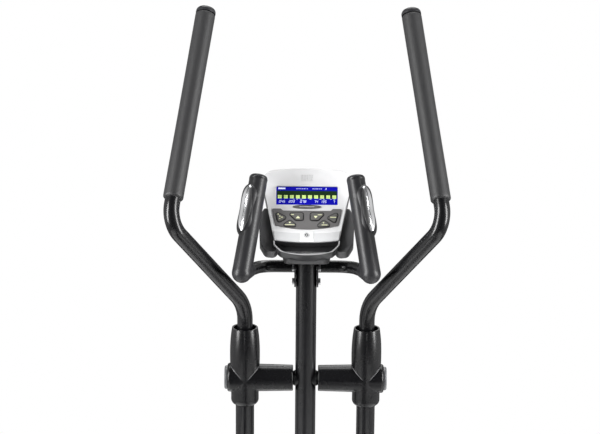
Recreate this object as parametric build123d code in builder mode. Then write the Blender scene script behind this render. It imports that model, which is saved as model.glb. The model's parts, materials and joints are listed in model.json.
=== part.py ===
"""Elliptical trainer with moving handles, fixed pulse grips, a console and a rear crank drive.

Units are millimetres. +X is the user's right, +Y is the way the user faces, +Z is up.
The origin lies on the floor under the middle of the machine.
"""
from build123d import *
from math import cos, radians, sin
import os

# Overall sizes
PIVOT_Z = 835.0          # height of the handle pivot
PIVOT_Y = 520.0          # handle pivot, ahead of the origin
ARM_X = 125.0            # handle and pedal arm, sideways from the middle
LEAN = 6.0               # mast and lower arms lean back towards the user, degrees
STABILIZER_Y = 700.0     # both stabilizers, ahead of and behind the origin
STABILIZER_Z = 40.0
CRANK_Y = -400.0
CRANK_RADIUS = 190.0

# Tubes
MAST_R = 21.1
MAST_WALL = 2.5
MAST_TOP = 272.0         # along the mast above the pivot
LOWER_R = 19.05
LOWER_WALL = 3.0
LOWER_LENGTH = 533.0     # handle pivot to pedal arm pivot
UPPER_R = 15.875
UPPER_WALL = 2.0
SOCKET_TOP = 60.0        # the lower arm's socket for the upper arm
STABILIZER_R = 25.0
STABILIZER_WALL = 2.5
PULSE_R = 12.7
PULSE_WALL = 2.0

# Handle pivot
AXLE_R = 10.0
BUSHING_R = 13.95
HUB_BORE_R = 14.0
HUB_R = 20.0
HUB_IN = 27.0
HUB_OUT = 155.0
BOOT_IN = 25.8
BOOT_OUT = 161.0
BOOT_TOP = 109.0
BOOT_BOTTOM = -56.0
BOOT_WALL = 3.0
PIVOT_CAP = 6.0          # thickness of the cap

# Upper arm path from the pivot, for the right side
ELBOW_LOW = 157.0        # along the arm
ELBOW_HIGH = (271.0, -170.0, 350.0)
HANDLE_TOP = (209.0, 90.0, 754.0)
BEND_LOW = 80.0
BEND_HIGH = 50.0
FOAM_R = 20.3
FOAM_START = 52.0        # beyond the high elbow
GRIP_CAP = 14.0

# Pedal arms
PEDAL_PIN_R = 7.95
PEDAL_BORE_R = 8.0
PEDAL_SLEEVE_R = 16.0
PEDAL_SLEEVE = 44.0      # width along X
CHEEK = 6.0
CHEEK_GAP = 0.5
ARM_TUBE_W = 40.0
ARM_TUBE_H = 34.0
BOSS_R = 26.0
BOSS_IN = 98.0
BOSS_OUT = 152.0
PEDAL_W = 148.0
PEDAL_L = 370.0
PEDAL_IN = 100.0
PEDAL_AHEAD = 335.0      # pedal centre, ahead of the crank pin along the arm
CLEVIS_BACK = 44.0
PEDAL_RIM = 42.0
PEDAL_FLOOR = 8.0
RIM_W = 6.0

# Frame
SPINE_W = 40.0
SPINE_H = 60.0
SPINE_WALL = 3.0
FRONT_HALF = 246.0       # half length of the front stabilizer tube
REAR_HALF = 246.0
CAP_R = 28.0
WHEEL_R = 27.0
WHEEL_W = 22.0
WHEEL_AXLE_R = 5.0
FOOT_R = 22.0
FOOT_H = 10.0
FOOT_X = 205.0
STEM_R = 5.0

# Drive
CRANK_AXLE_R = 10.0
BEARING_R = 21.0
BEARING_W = 12.0
SHELL_R = 26.0
SHELL_HALF = 30.0
CRANK_ARM_IN = 68.0
CRANK_ARM_T = 12.0
DISC_R = 215.0
DISC_IN = 92.0
DISC_OUT = 97.0
PULLEY_R = 125.0
PULLEY_IN = 34.0
PULLEY_W = 12.0
BELT_W = 8.0
BELT_T = 2.0
BELT_GAP = 0.3
FLYWHEEL_Y = -95.0
FLYWHEEL_Z = 245.0
FLYWHEEL_R = 105.0
FLYWHEEL_W = 20.0
FLYWHEEL_LEFT = -20.0
SMALL_PULLEY_R = 20.0
FLYWHEEL_AXLE_R = 7.0
COVER_HALF = 62.0
COVER_WALL = 3.0
COVER_REAR_R = 228.0
COVER_FRONT_R = 131.0

# Pulse grips, from the pivot, for the right side
PULSE_AHEAD = 34.3       # cross tube, ahead of the mast axis
PULSE_UP = 230.0
GRIP_LOW = (129.0, -110.0, 240.0)
GRIP_HIGH = (99.0, -14.0, 414.0)
GRIP_LOW_R = 20.0
GRIP_HIGH_R = 18.6
PALM_R = 19.2            # swelling that carries the sensor plates
PALM_OUT = 7.5           # its axis, outside the grip's own
PALM_HALF = 60.0
PALM_AT = 0.66           # its middle, as a share of the grip

# Console, in the plane of its face
CONSOLE_Y = -5.0
CONSOLE_Z = 362.0
CONSOLE_TILT = 38.0
FACE_TOP = 86.0
FACE_SHOULDER = 77.0
FACE_BOTTOM = -82.0
FACE_SAG = 5.0
FACE_TOP_HALF = 95.0
FACE_BOTTOM_HALF = 66.0
FASCIA_T = 4.0
CONSOLE_DEPTH = 42.0
CONSOLE_WALL = 3.0
LCD_W = 125.5
LCD_H = 43.0
LCD_V = 22.0
KEYPAD_T = 1.6
BUTTON_FIT = 0.4
BUTTON_BACK = -3.5
BUTTON_FRONT = 2.8

RUNNING = 0.05           # radial clearance of shafts
EASY = 0.3               # clearance beside moving faces

lean_sin = sin(radians(LEAN))
lean_cos = cos(radians(LEAN))
pedal_y = PIVOT_Y + LOWER_LENGTH * lean_sin
pedal_z = PIVOT_Z - LOWER_LENGTH * lean_cos
crank_z = pedal_z
spine_bottom = STABILIZER_Z + STABILIZER_R
spine_top = spine_bottom + SPINE_H

os.makedirs("parts", exist_ok=True)


def arm_plane(x, height):
    """Plane across the mast or an arm, at a height along it from the pivot."""
    origin = (x, PIVOT_Y - height * lean_sin, PIVOT_Z + height * lean_cos)
    return Plane(origin=origin, x_dir=(1, 0, 0), z_dir=(0, -lean_sin, lean_cos))


def arm_side_plane(x):
    """Plane that holds the arm's axis: local X is sideways and local Y is up the arm."""
    return Plane(origin=(x, PIVOT_Y, PIVOT_Z), x_dir=(1, 0, 0), z_dir=(0, -lean_cos, -lean_sin))


def across(x, y, z):
    """Plane whose normal is +X, with local X along +Y and local Y up."""
    return Plane(origin=(x, y, z), x_dir=(0, 1, 0), z_dir=(1, 0, 0))


def from_pivot(point):
    """A point given from the handle pivot, in the machine's frame."""
    return Vector(point[0], point[1] + PIVOT_Y, point[2] + PIVOT_Z)


def write(label, piece):
    """Label a finished piece and write it."""
    piece.part.label = label
    export_step(piece.part, f"parts/{label}.step")


def write_pair(label, right):
    """Write the right-hand piece and its mirror image for the left."""
    write(f"{label}_right", right)
    with BuildPart() as left:
        mirror(right.part, about=Plane.YZ)
    write(f"{label}_left", left)


# ---------------------------------------------------------------- frame

def bar(y_low, y_high, half_width, z_low, z_high):
    """A plain block between two Y and two Z values, centred on X."""
    middle = ((y_low + y_high) / 2, (z_low + z_high) / 2)
    with BuildPart(mode=Mode.PRIVATE) as block:
        with Locations((0, middle[0], middle[1])):
            Box(2 * half_width, y_high - y_low, z_high - z_low)
    return block.part


fork_left = -32.0        # outer face of the left flywheel plate
fork_right = 54.0        # outer face of the right flywheel plate
FORK_T = 5.0
FORK_HALF = 34.0
PLATE_T = 6.0
POST_HALF = 22.0
PAD_T = 8.0
FLANGE = 110.0
FLANGE_T = 8.0
FLANGE_BOLT = 40.0
BOLT_R = 4.0
BOLT_HOLE_R = 4.1
BOLT_HEAD_R = 6.8
BOLT_HEAD_T = 4.5
mast_foot = -(PIVOT_Z - spine_top) / lean_cos
mast_foot_y = PIVOT_Y - mast_foot * lean_sin
spine_half_length = STABILIZER_Y + 24.0

# magnetic brake: a curved carrier that swings away from the flywheel's rim
BRAKE_IN_R = 86.0
BRAKE_OUT_R = 113.0
BRAKE_WEB_R = FLYWHEEL_R + 2.5
BRAKE_SPAN = 62.0
BRAKE_MIDDLE = 45.0
BRAKE_CHEEK = 3.0
BRAKE_SIDE_GAP = 1.5
BRAKE_PIN_R = 3.0
brake_left = FLYWHEEL_LEFT - BRAKE_SIDE_GAP - BRAKE_CHEEK
brake_width = FLYWHEEL_W + 2 * (BRAKE_SIDE_GAP + BRAKE_CHEEK)
brake_start = BRAKE_MIDDLE - BRAKE_SPAN / 2
brake_end = BRAKE_MIDDLE + BRAKE_SPAN / 2
brake_pin_y = FLYWHEEL_Y + (BRAKE_OUT_R - 2) * cos(radians(brake_end))
brake_pin_z = FLYWHEEL_Z + (BRAKE_OUT_R - 2) * sin(radians(brake_end))

with BuildPart() as base_spine:
    with BuildSketch(Plane.XZ.offset(-spine_half_length)):
        with Locations((0, (spine_bottom + spine_top) / 2)):
            RectangleRounded(SPINE_W, SPINE_H, 5)
            RectangleRounded(SPINE_W - 2 * SPINE_WALL, SPINE_H - 2 * SPINE_WALL, 2, mode=Mode.SUBTRACT)
    extrude(amount=2 * spine_half_length)
    # bottom bracket post and shell
    add(bar(CRANK_Y - POST_HALF, CRANK_Y + POST_HALF, SPINE_W / 2, spine_top - 1, crank_z))
    with BuildSketch(across(-SHELL_HALF, CRANK_Y, crank_z)):
        Circle(SHELL_R)
    extrude(amount=2 * SHELL_HALF)
    with BuildSketch(across(-SHELL_HALF, CRANK_Y, crank_z)):
        Circle(BEARING_R)
    extrude(amount=2 * SHELL_HALF, mode=Mode.SUBTRACT)
    # fork plates for the flywheel
    for outer in (fork_left, fork_right - FORK_T):
        with BuildSketch(across(outer, FLYWHEEL_Y, 0)):
            with Locations((0, (spine_top + FLYWHEEL_Z) / 2)):
                Rectangle(2 * FORK_HALF, FLYWHEEL_Z - spine_top)
            with Locations((0, FLYWHEEL_Z)):
                Circle(FORK_HALF)
                Circle(FLYWHEEL_AXLE_R, mode=Mode.SUBTRACT)
        extrude(amount=FORK_T)
    with BuildSketch(Plane.XY.offset(spine_top)):
        with Locations(((fork_left + fork_right) / 2, FLYWHEEL_Y)):
            Rectangle(fork_right - fork_left, 2 * FORK_HALF)
    extrude(amount=PLATE_T)
    # lug and pin for the magnetic brake
    with BuildSketch(across(fork_left, 0, 0)):
        with Locations((brake_pin_y, brake_pin_z)):
            Circle(9)
        with Locations((FLYWHEEL_Y - 8, FLYWHEEL_Z + FORK_HALF - 14)):
            Circle(12)
        make_hull()
    extrude(amount=4)
    with BuildSketch(across(fork_left, brake_pin_y, brake_pin_z)):
        Circle(BRAKE_PIN_R)
    extrude(amount=brake_left + brake_width + 3 - fork_left)
    # pad under the mast's flange
    with BuildSketch(Plane.XY.offset(spine_top - PAD_T)):
        with Locations((0, mast_foot_y)):
            RectangleRounded(FLANGE, FLANGE, 12)
            with GridLocations(2 * FLANGE_BOLT, 2 * FLANGE_BOLT, 2, 2):
                Circle(BOLT_HOLE_R, mode=Mode.SUBTRACT)
    extrude(amount=PAD_T)
write("base_spine", base_spine)


# mast with its pivot sleeve and foot flange
SLEEVE_R = 16.0
SLEEVE_HALF = 21.5
plate_bolts = (208.0, 236.0)          # along the mast

with BuildPart() as mast:
    with BuildSketch(arm_plane(0, mast_foot - 20)):
        Circle(MAST_R)
    extrude(amount=MAST_TOP - mast_foot + 20)
    with BuildSketch(arm_plane(0, mast_foot - 20)):
        Circle(MAST_R - MAST_WALL)
    extrude(amount=MAST_TOP - mast_foot + 20, mode=Mode.SUBTRACT)
    split(bisect_by=Plane.XY.offset(spine_top), keep=Keep.TOP)
    with BuildSketch(Plane.XY.offset(spine_top)):
        with Locations((0, mast_foot_y)):
            RectangleRounded(FLANGE, FLANGE, 12)
            with GridLocations(2 * FLANGE_BOLT, 2 * FLANGE_BOLT, 2, 2):
                Circle(BOLT_HOLE_R, mode=Mode.SUBTRACT)
    extrude(amount=FLANGE_T)
    with BuildSketch(across(-SLEEVE_HALF, PIVOT_Y, PIVOT_Z)):
        Circle(SLEEVE_R)
    extrude(amount=2 * SLEEVE_HALF)
    with BuildSketch(across(-SLEEVE_HALF - 1, PIVOT_Y, PIVOT_Z)):
        Circle(AXLE_R)
    extrude(amount=2 * SLEEVE_HALF + 2, mode=Mode.SUBTRACT)
    for height in plate_bolts:
        hole = arm_plane(0, height).origin
        with BuildSketch(across(-MAST_R - 1, hole.Y, hole.Z)):
            Circle(BOLT_HOLE_R)
        extrude(amount=2 * MAST_R + 2, mode=Mode.SUBTRACT)
write("mast", mast)


def stabilizer(y, half):
    """A round floor tube with a welded saddle under the spine."""
    with BuildPart(mode=Mode.PRIVATE) as tube:
        with BuildSketch(across(-half, y, STABILIZER_Z)):
            Circle(STABILIZER_R)
        extrude(amount=2 * half)
        saddle = STABILIZER_Z + STABILIZER_R
        add(bar(y - 24, y + 24, 45, STABILIZER_Z, saddle))
        with BuildSketch(across(-half, y, STABILIZER_Z)):
            Circle(STABILIZER_R - STABILIZER_WALL)
        extrude(amount=2 * half, mode=Mode.SUBTRACT)
        with BuildSketch(Plane.XY.offset(STABILIZER_Z - STABILIZER_R - 1)):
            with Locations((-FOOT_X, y), (FOOT_X, y)):
                Circle(STEM_R + EASY)
        extrude(amount=STABILIZER_R, mode=Mode.SUBTRACT)
    return tube


front_stabilizer = stabilizer(STABILIZER_Y, FRONT_HALF)
write("front_stabilizer", front_stabilizer)
rear_stabilizer = stabilizer(-STABILIZER_Y, REAR_HALF)
write("rear_stabilizer", rear_stabilizer)

CAP_LENGTH = 24.0
CAP_WALL = 3.0
WHEEL_GAP = 0.5
WHEEL_CAP_OUT = FRONT_HALF + CAP_WALL
WHEEL_AXLE_OUT = WHEEL_CAP_OUT + WHEEL_W + 2 * WHEEL_GAP + 3.0

with BuildPart() as stabilizer_caps:
    for y, half in ((STABILIZER_Y, FRONT_HALF), (-STABILIZER_Y, REAR_HALF)):
        for side in (-1, 1):
            with BuildSketch(Plane(origin=(side * (half + CAP_WALL), y, STABILIZER_Z),
                                   x_dir=(0, 1, 0), z_dir=(-side, 0, 0))):
                Circle(CAP_R)
            extrude(amount=CAP_LENGTH)
            with BuildSketch(Plane(origin=(side * half, y, STABILIZER_Z),
                                   x_dir=(0, 1, 0), z_dir=(-side, 0, 0))):
                Circle(STABILIZER_R)
            extrude(amount=CAP_LENGTH, mode=Mode.SUBTRACT)
    # stub axles for the transport wheels
    for side in (-1, 1):
        with BuildSketch(Plane(origin=(side * WHEEL_CAP_OUT, STABILIZER_Y, STABILIZER_Z),
                               x_dir=(0, 1, 0), z_dir=(side, 0, 0))):
            Circle(WHEEL_AXLE_R)
        extrude(amount=WHEEL_AXLE_OUT - WHEEL_CAP_OUT)
        with BuildSketch(Plane(origin=(side * (WHEEL_AXLE_OUT - 3.0), STABILIZER_Y, STABILIZER_Z),
                               x_dir=(0, 1, 0), z_dir=(side, 0, 0))):
            Circle(WHEEL_AXLE_R + 4)
        extrude(amount=3.0)
write("stabilizer_caps", stabilizer_caps)

with BuildPart() as transport_wheel:
    with BuildSketch(across(WHEEL_CAP_OUT + WHEEL_GAP, STABILIZER_Y, STABILIZER_Z)):
        Circle(WHEEL_R)
        Circle(WHEEL_AXLE_R + RUNNING, mode=Mode.SUBTRACT)
    extrude(amount=WHEEL_W)
    fillet(transport_wheel.edges().filter_by(GeomType.CIRCLE).group_by(lambda e: e.radius)[-1], 4)
write_pair("transport_wheel", transport_wheel)


def floor_feet(y):
    """Round rubber foot with its threaded stem, right-hand one."""
    with BuildPart(mode=Mode.PRIVATE) as foot:
        with BuildSketch(Plane.XY):
            with Locations((FOOT_X, y)):
                Circle(FOOT_R)
        extrude(amount=FOOT_H)
        chamfer(foot.faces().sort_by(Axis.Z)[-1].edges(), 3)
        with BuildSketch(Plane.XY.offset(FOOT_H)):
            with Locations((FOOT_X, y)):
                Circle(STEM_R)
        extrude(amount=STABILIZER_Z - FOOT_H - 12)
        with BuildSketch(Plane.XY.offset(FOOT_H)):
            with Locations((FOOT_X, y)):
                RegularPolygon(9, 6)
        extrude(amount=4)
    return foot


rear_foot = floor_feet(-STABILIZER_Y)
write_pair("levelling_foot", rear_foot)

with BuildPart() as front_feet:
    front_foot = floor_feet(STABILIZER_Y)
    add(front_foot.part)
    mirror(front_foot.part, about=Plane.YZ)
write("front_feet", front_feet)

# ---------------------------------------------------------------- handle pivot

with BuildPart() as pivot_axle:
    with BuildSketch(across(-HUB_OUT, PIVOT_Y, PIVOT_Z)):
        Circle(AXLE_R)
    extrude(amount=2 * HUB_OUT)
write("pivot_axle", pivot_axle)

FLANGE_R = 16.4
COLLAR_END = 26.0

with BuildPart() as pivot_bushings:
    for side in (-1, 1):
        with BuildSketch(Plane.XY.offset(PIVOT_Z)):
            with BuildLine():
                Polyline((side * SLEEVE_HALF, PIVOT_Y), (side * SLEEVE_HALF, PIVOT_Y + FLANGE_R),
                         (side * COLLAR_END, PIVOT_Y + BUSHING_R),
                         (side * (HUB_OUT - 1), PIVOT_Y + BUSHING_R),
                         (side * (HUB_OUT - 1), PIVOT_Y), close=True)
            make_face()
        revolve(axis=Axis((0, PIVOT_Y, PIVOT_Z), (1, 0, 0)))
    with BuildSketch(across(-HUB_OUT, PIVOT_Y, PIVOT_Z)):
        Circle(AXLE_R)
    extrude(amount=2 * HUB_OUT, mode=Mode.SUBTRACT)
write("pivot_bushings", pivot_bushings)

# ---------------------------------------------------------------- moving handles, right-hand side

with BuildPart() as lower_arm:
    with BuildSketch(arm_plane(ARM_X, -LOWER_LENGTH)):
        Circle(LOWER_R)
    extrude(amount=LOWER_LENGTH + SOCKET_TOP)
    with BuildSketch(across(HUB_IN, PIVOT_Y, PIVOT_Z)):
        Circle(HUB_R)
    extrude(amount=HUB_OUT - HUB_IN)
    with BuildSketch(across(ARM_X - PEDAL_SLEEVE / 2, pedal_y, pedal_z)):
        Circle(LOWER_R)
    extrude(amount=PEDAL_SLEEVE)
    # hollow tube above and below the hub
    with BuildSketch(arm_plane(ARM_X, -LOWER_LENGTH + LOWER_R)):
        Circle(LOWER_R - LOWER_WALL)
    extrude(amount=LOWER_LENGTH - LOWER_R - HUB_R, mode=Mode.SUBTRACT)
    with BuildSketch(arm_plane(ARM_X, HUB_R)):
        Circle(LOWER_R - LOWER_WALL)
    extrude(amount=SOCKET_TOP - HUB_R, mode=Mode.SUBTRACT)
    with BuildSketch(across(HUB_IN - 1, PIVOT_Y, PIVOT_Z)):
        Circle(HUB_BORE_R)
    extrude(amount=HUB_OUT - HUB_IN + 2, mode=Mode.SUBTRACT)
    with BuildSketch(across(ARM_X - PEDAL_SLEEVE, pedal_y, pedal_z)):
        Circle(PEDAL_BORE_R)
    extrude(amount=2 * PEDAL_SLEEVE, mode=Mode.SUBTRACT)
write_pair("lower_arm", lower_arm)

elbow_low = arm_plane(ARM_X, ELBOW_LOW).origin
elbow_high = from_pivot(ELBOW_HIGH)
handle_top = from_pivot(HANDLE_TOP)
grip_line = (handle_top - elbow_high).normalized()
tube_top = handle_top - grip_line * GRIP_CAP
foam_bottom = elbow_high + grip_line * FOAM_START
tube_start = arm_plane(ARM_X, HUB_R + 1)

with BuildPart() as upper_arm:
    with BuildLine() as upper_path:
        FilletPolyline(tube_start.origin, elbow_low, elbow_high, tube_top, radius=[BEND_LOW, BEND_HIGH])
    with BuildSketch(tube_start):
        Circle(UPPER_R)
        Circle(UPPER_R - UPPER_WALL, mode=Mode.SUBTRACT)
    sweep(path=upper_path.wires()[0])
write_pair("upper_arm", upper_arm)

with BuildPart() as foam_grip:
    with BuildSketch(Plane(origin=foam_bottom, z_dir=grip_line)):
        Circle(FOAM_R)
        Circle(UPPER_R, mode=Mode.SUBTRACT)
    extrude(amount=(tube_top - foam_bottom).length)
write_pair("foam_grip", foam_grip)

CAP_LIP = 3.0


def dome(base, way, radius, height):
    """Domed cap that stands on a round tube's end."""
    normal = Vector(1, 0, 0).cross(way)
    with BuildPart() as cap:
        with BuildSketch(Plane(origin=base, x_dir=way.cross(normal), z_dir=normal)):
            with BuildLine():
                Polyline((0, height), (0, 0), (radius, 0), (radius, CAP_LIP))
                Spline((radius, CAP_LIP), (0, height), tangents=((0, 1), (-1, 0)))
            make_face()
        revolve(axis=Axis(base, way))
    return cap.part


with BuildPart() as grip_cap:
    add(dome(tube_top, grip_line, FOAM_R, GRIP_CAP))
    with BuildSketch(Plane(origin=tube_top - grip_line * 20, z_dir=grip_line)):
        Circle(UPPER_R - UPPER_WALL)
    extrude(amount=20)
write_pair("grip_cap", grip_cap)

# pivot boots: two plastic halves around the hub
boot_plane = arm_side_plane(ARM_X)
arm_axis = Axis(boot_plane.origin, boot_plane.y_dir)
hub_axis = Axis(boot_plane.origin, (1, 0, 0))
boot_outer_profile = ((28.5, -44.0), (29.3, 0.0), (30.75, 50.0), (26.5, BOOT_TOP))
BOOT_FOOT_R = 22.0
BOOT_INNER_END_R = 26.75
BOOT_OUTER_END_R = 29.8
BOOT_CORNER = 2.0
BOOT_OUTER_CORNER = 5.0

with BuildPart() as boot:
    with BuildSketch(boot_plane):
        with BuildLine():
            Spline(*boot_outer_profile)
            RadiusArc(boot_outer_profile[0], (BOOT_FOOT_R, BOOT_BOTTOM), 12)
            Polyline((BOOT_FOOT_R, BOOT_BOTTOM), (0, BOOT_BOTTOM), (0, BOOT_TOP), boot_outer_profile[-1])
        make_face()
    revolve(axis=arm_axis)
    with BuildSketch(boot_plane) as boot_sleeve:
        with BuildLine():
            Polyline((BOOT_IN - ARM_X, 0), (BOOT_IN - ARM_X, BOOT_INNER_END_R),
                     (BOOT_OUT - ARM_X, BOOT_OUTER_END_R), (BOOT_OUT - ARM_X, 0), close=True)
        make_face()
        inner_corner = boot_sleeve.vertices().filter_by(lambda corner: corner.Y > 1).sort_by(Axis.X)[0]
        fillet(inner_corner, BOOT_CORNER)
        outer_corner = boot_sleeve.vertices().filter_by(lambda corner: corner.Y > 1).sort_by(Axis.X)[-1]
        fillet(outer_corner, BOOT_OUTER_CORNER)
    revolve(axis=hub_axis)
    # cavity
    with BuildSketch(boot_plane):
        with BuildLine():
            Polyline((0, BOOT_BOTTOM + 8), (25.0, BOOT_BOTTOM + 14), (26.0, 0), (27.3, 50), (23.3, BOOT_TOP),
                     (0, BOOT_TOP), close=True)
        make_face()
    revolve(axis=arm_axis, mode=Mode.SUBTRACT)
    with BuildSketch(boot_plane):
        with BuildLine():
            Polyline((BOOT_IN - ARM_X + BOOT_WALL, 0), (BOOT_IN - ARM_X + BOOT_WALL, 23.5),
                     (BOOT_OUT - ARM_X, 25.2), (BOOT_OUT - ARM_X, 0), close=True)
        make_face()
    revolve(axis=hub_axis, mode=Mode.SUBTRACT)
    with BuildSketch(across(BOOT_IN, PIVOT_Y, PIVOT_Z)):
        Circle(HUB_R)
    extrude(amount=BOOT_WALL, mode=Mode.SUBTRACT)
    with BuildSketch(arm_plane(ARM_X, BOOT_BOTTOM)):
        Circle(LOWER_R)
    extrude(amount=30, mode=Mode.SUBTRACT)

with BuildPart() as boot_inner:
    add(boot.part)
    split(bisect_by=Plane.YZ.offset(ARM_X), keep=Keep.BOTTOM)
write_pair("boot_inner", boot_inner)

with BuildPart() as boot_outer:
    add(boot.part)
    split(bisect_by=Plane.YZ.offset(ARM_X), keep=Keep.TOP)
write_pair("boot_outer", boot_outer)

with BuildPart() as pivot_cap:
    with BuildSketch(across(BOOT_OUT, PIVOT_Y, PIVOT_Z)):
        Circle(BOOT_OUTER_END_R - BOOT_OUTER_CORNER - 0.6)
    extrude(amount=PIVOT_CAP)
    fillet(pivot_cap.faces().sort_by(Axis.X)[-1].edges(), PIVOT_CAP - 2.5)
    with BuildSketch(across(HUB_OUT, PIVOT_Y, PIVOT_Z)):
        Circle(HUB_R)
    extrude(amount=BOOT_OUT - HUB_OUT)
write_pair("pivot_cap", pivot_cap)

# ---------------------------------------------------------------- pedal arms


def pedal_arm(side, pin_z):
    """Pedal arm from its clevis on the lower arm to the crank pin boss."""
    along = Vector(0, CRANK_Y - pedal_y, pin_z - pedal_z)
    length = along.length
    middle = side * ARM_X
    front = Plane(origin=(middle, pedal_y, pedal_z), x_dir=(1, 0, 0), z_dir=along.normalized())
    gap = PEDAL_SLEEVE / 2 + CHEEK_GAP
    with BuildPart() as arm:
        with BuildSketch(front.offset(CLEVIS_BACK)):
            RectangleRounded(ARM_TUBE_W, ARM_TUBE_H, 5)
        extrude(amount=length - CLEVIS_BACK)
        with BuildSketch(across(middle - gap - CHEEK, pedal_y, pedal_z)):
            Circle(PEDAL_SLEEVE_R + 3)
        extrude(amount=2 * (gap + CHEEK))
        with BuildSketch(front):
            Rectangle(2 * (gap + CHEEK), ARM_TUBE_H)
        extrude(amount=CLEVIS_BACK + 8)
        # slot for the sleeve
        with BuildSketch(across(middle - gap, pedal_y, pedal_z)):
            Circle(CLEVIS_BACK - 3)
        extrude(amount=2 * gap, mode=Mode.SUBTRACT)
        with BuildSketch(across(middle - gap - CHEEK, pedal_y, pedal_z)):
            Circle(PEDAL_PIN_R)
        extrude(amount=2 * (gap + CHEEK))
        boss_in = BOSS_IN if side > 0 else -BOSS_OUT
        with BuildSketch(across(boss_in, CRANK_Y, pin_z)):
            Circle(BOSS_R)
        extrude(amount=BOSS_OUT - BOSS_IN)
        fillet(arm.faces().filter_by(Axis.X).sort_by(Axis.X)[-1 if side > 0 else 0].edges(), 3)
    return arm


def pedal(side, pin_z):
    """Foot platform with raised edges, seated on its pedal arm."""
    way = Vector(0, CRANK_Y - pedal_y, pin_z - pedal_z).normalized()
    up = Vector(0, way.Z, -way.Y)
    pin = Vector(0, CRANK_Y, pin_z)
    seat = pin - way * PEDAL_AHEAD + up * (ARM_TUBE_H / 2)
    centre_x = side * (PEDAL_IN + PEDAL_W / 2)
    deck = Plane(origin=(centre_x, seat.Y, seat.Z), x_dir=(1, 0, 0), z_dir=up)
    with BuildPart() as plate:
        with BuildSketch(deck):
            RectangleRounded(PEDAL_W, PEDAL_L, 38)
        extrude(amount=PEDAL_RIM)
        with BuildSketch(deck.offset(PEDAL_FLOOR)):
            RectangleRounded(PEDAL_W - 2 * RIM_W, PEDAL_L - 2 * RIM_W, 38 - RIM_W)
        extrude(amount=PEDAL_RIM, mode=Mode.SUBTRACT)
        # the rear end is low, so that the foot slides in
        with BuildSketch(deck.offset(PEDAL_FLOOR + 6)):
            with Locations((0, -PEDAL_L / 2)):
                Rectangle(PEDAL_W, 150)
        extrude(amount=PEDAL_RIM, mode=Mode.SUBTRACT)
        # grip ribs
        with BuildSketch(deck.offset(PEDAL_FLOOR)):
            with GridLocations(1, 24, 1, 12):
                Rectangle(PEDAL_W - 2 * RIM_W - 16, 6)
        extrude(amount=2)
    return plate


for side, name in ((-1, "left"), (1, "right")):
    pin_z = crank_z - side * CRANK_RADIUS
    write(f"pedal_arm_{name}", pedal_arm(side, pin_z))
    write(f"pedal_{name}", pedal(side, pin_z))

# ---------------------------------------------------------------- rear drive

with BuildPart() as crank_bearings:
    for near in (-SHELL_HALF, SHELL_HALF - BEARING_W):
        with BuildSketch(across(near, CRANK_Y, crank_z)):
            Circle(BEARING_R)
            Circle(CRANK_AXLE_R + RUNNING, mode=Mode.SUBTRACT)
        extrude(amount=BEARING_W)
write("crank_bearings", crank_bearings)

crank_arm_out = CRANK_ARM_IN + CRANK_ARM_T
CRANK_BOSS_R = 22.0
PIN_BOSS_R = 18.0

with BuildPart() as crank:
    with BuildSketch(across(-crank_arm_out, CRANK_Y, crank_z)):
        Circle(CRANK_AXLE_R)
    extrude(amount=2 * crank_arm_out)
    for side in (-1, 1):
        near = CRANK_ARM_IN if side > 0 else -crank_arm_out
        far = crank_arm_out if side > 0 else -DISC_IN
        pin_z = crank_z - side * CRANK_RADIUS
        with BuildSketch(across(near, CRANK_Y, 0)):
            with Locations((0, crank_z)):
                Circle(CRANK_BOSS_R)
            with Locations((0, pin_z)):
                Circle(PIN_BOSS_R)
            make_hull()
        extrude(amount=CRANK_ARM_T)
        with BuildSketch(across(far, CRANK_Y, pin_z)):
            Circle(PIN_BOSS_R)
        extrude(amount=DISC_IN - crank_arm_out)
write("crank", crank)

with BuildPart() as disc_right:
    with BuildSketch(across(DISC_IN, CRANK_Y, crank_z)):
        Circle(DISC_R)
    extrude(amount=DISC_OUT - DISC_IN)
    with BuildSketch(across(DISC_IN, CRANK_Y, crank_z)):
        Circle(CRANK_BOSS_R + 12)
    extrude(amount=-(DISC_IN - crank_arm_out))
    with BuildSketch(across(DISC_OUT - 2, CRANK_Y, crank_z)):
        Circle(DISC_R - 30)
        Circle(70, mode=Mode.SUBTRACT)
    extrude(amount=2, mode=Mode.SUBTRACT)

with BuildPart() as crank_discs:
    add(disc_right.part)
    mirror(disc_right.part, about=Plane.YZ)
write("crank_discs", crank_discs)

with BuildPart() as drive_pulley:
    with BuildSketch(across(PULLEY_IN, CRANK_Y, crank_z)):
        Circle(PULLEY_R)
        Circle(CRANK_AXLE_R, mode=Mode.SUBTRACT)
        with PolarLocations(78, 5):
            Circle(22, mode=Mode.SUBTRACT)
    extrude(amount=PULLEY_W)
    with BuildSketch(across(PULLEY_IN + PULLEY_W, CRANK_Y, crank_z)):
        Circle(24)
        Circle(CRANK_AXLE_R, mode=Mode.SUBTRACT)
    extrude(amount=10)
write("drive_pulley", drive_pulley)

HUB_GAP = 0.5

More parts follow.
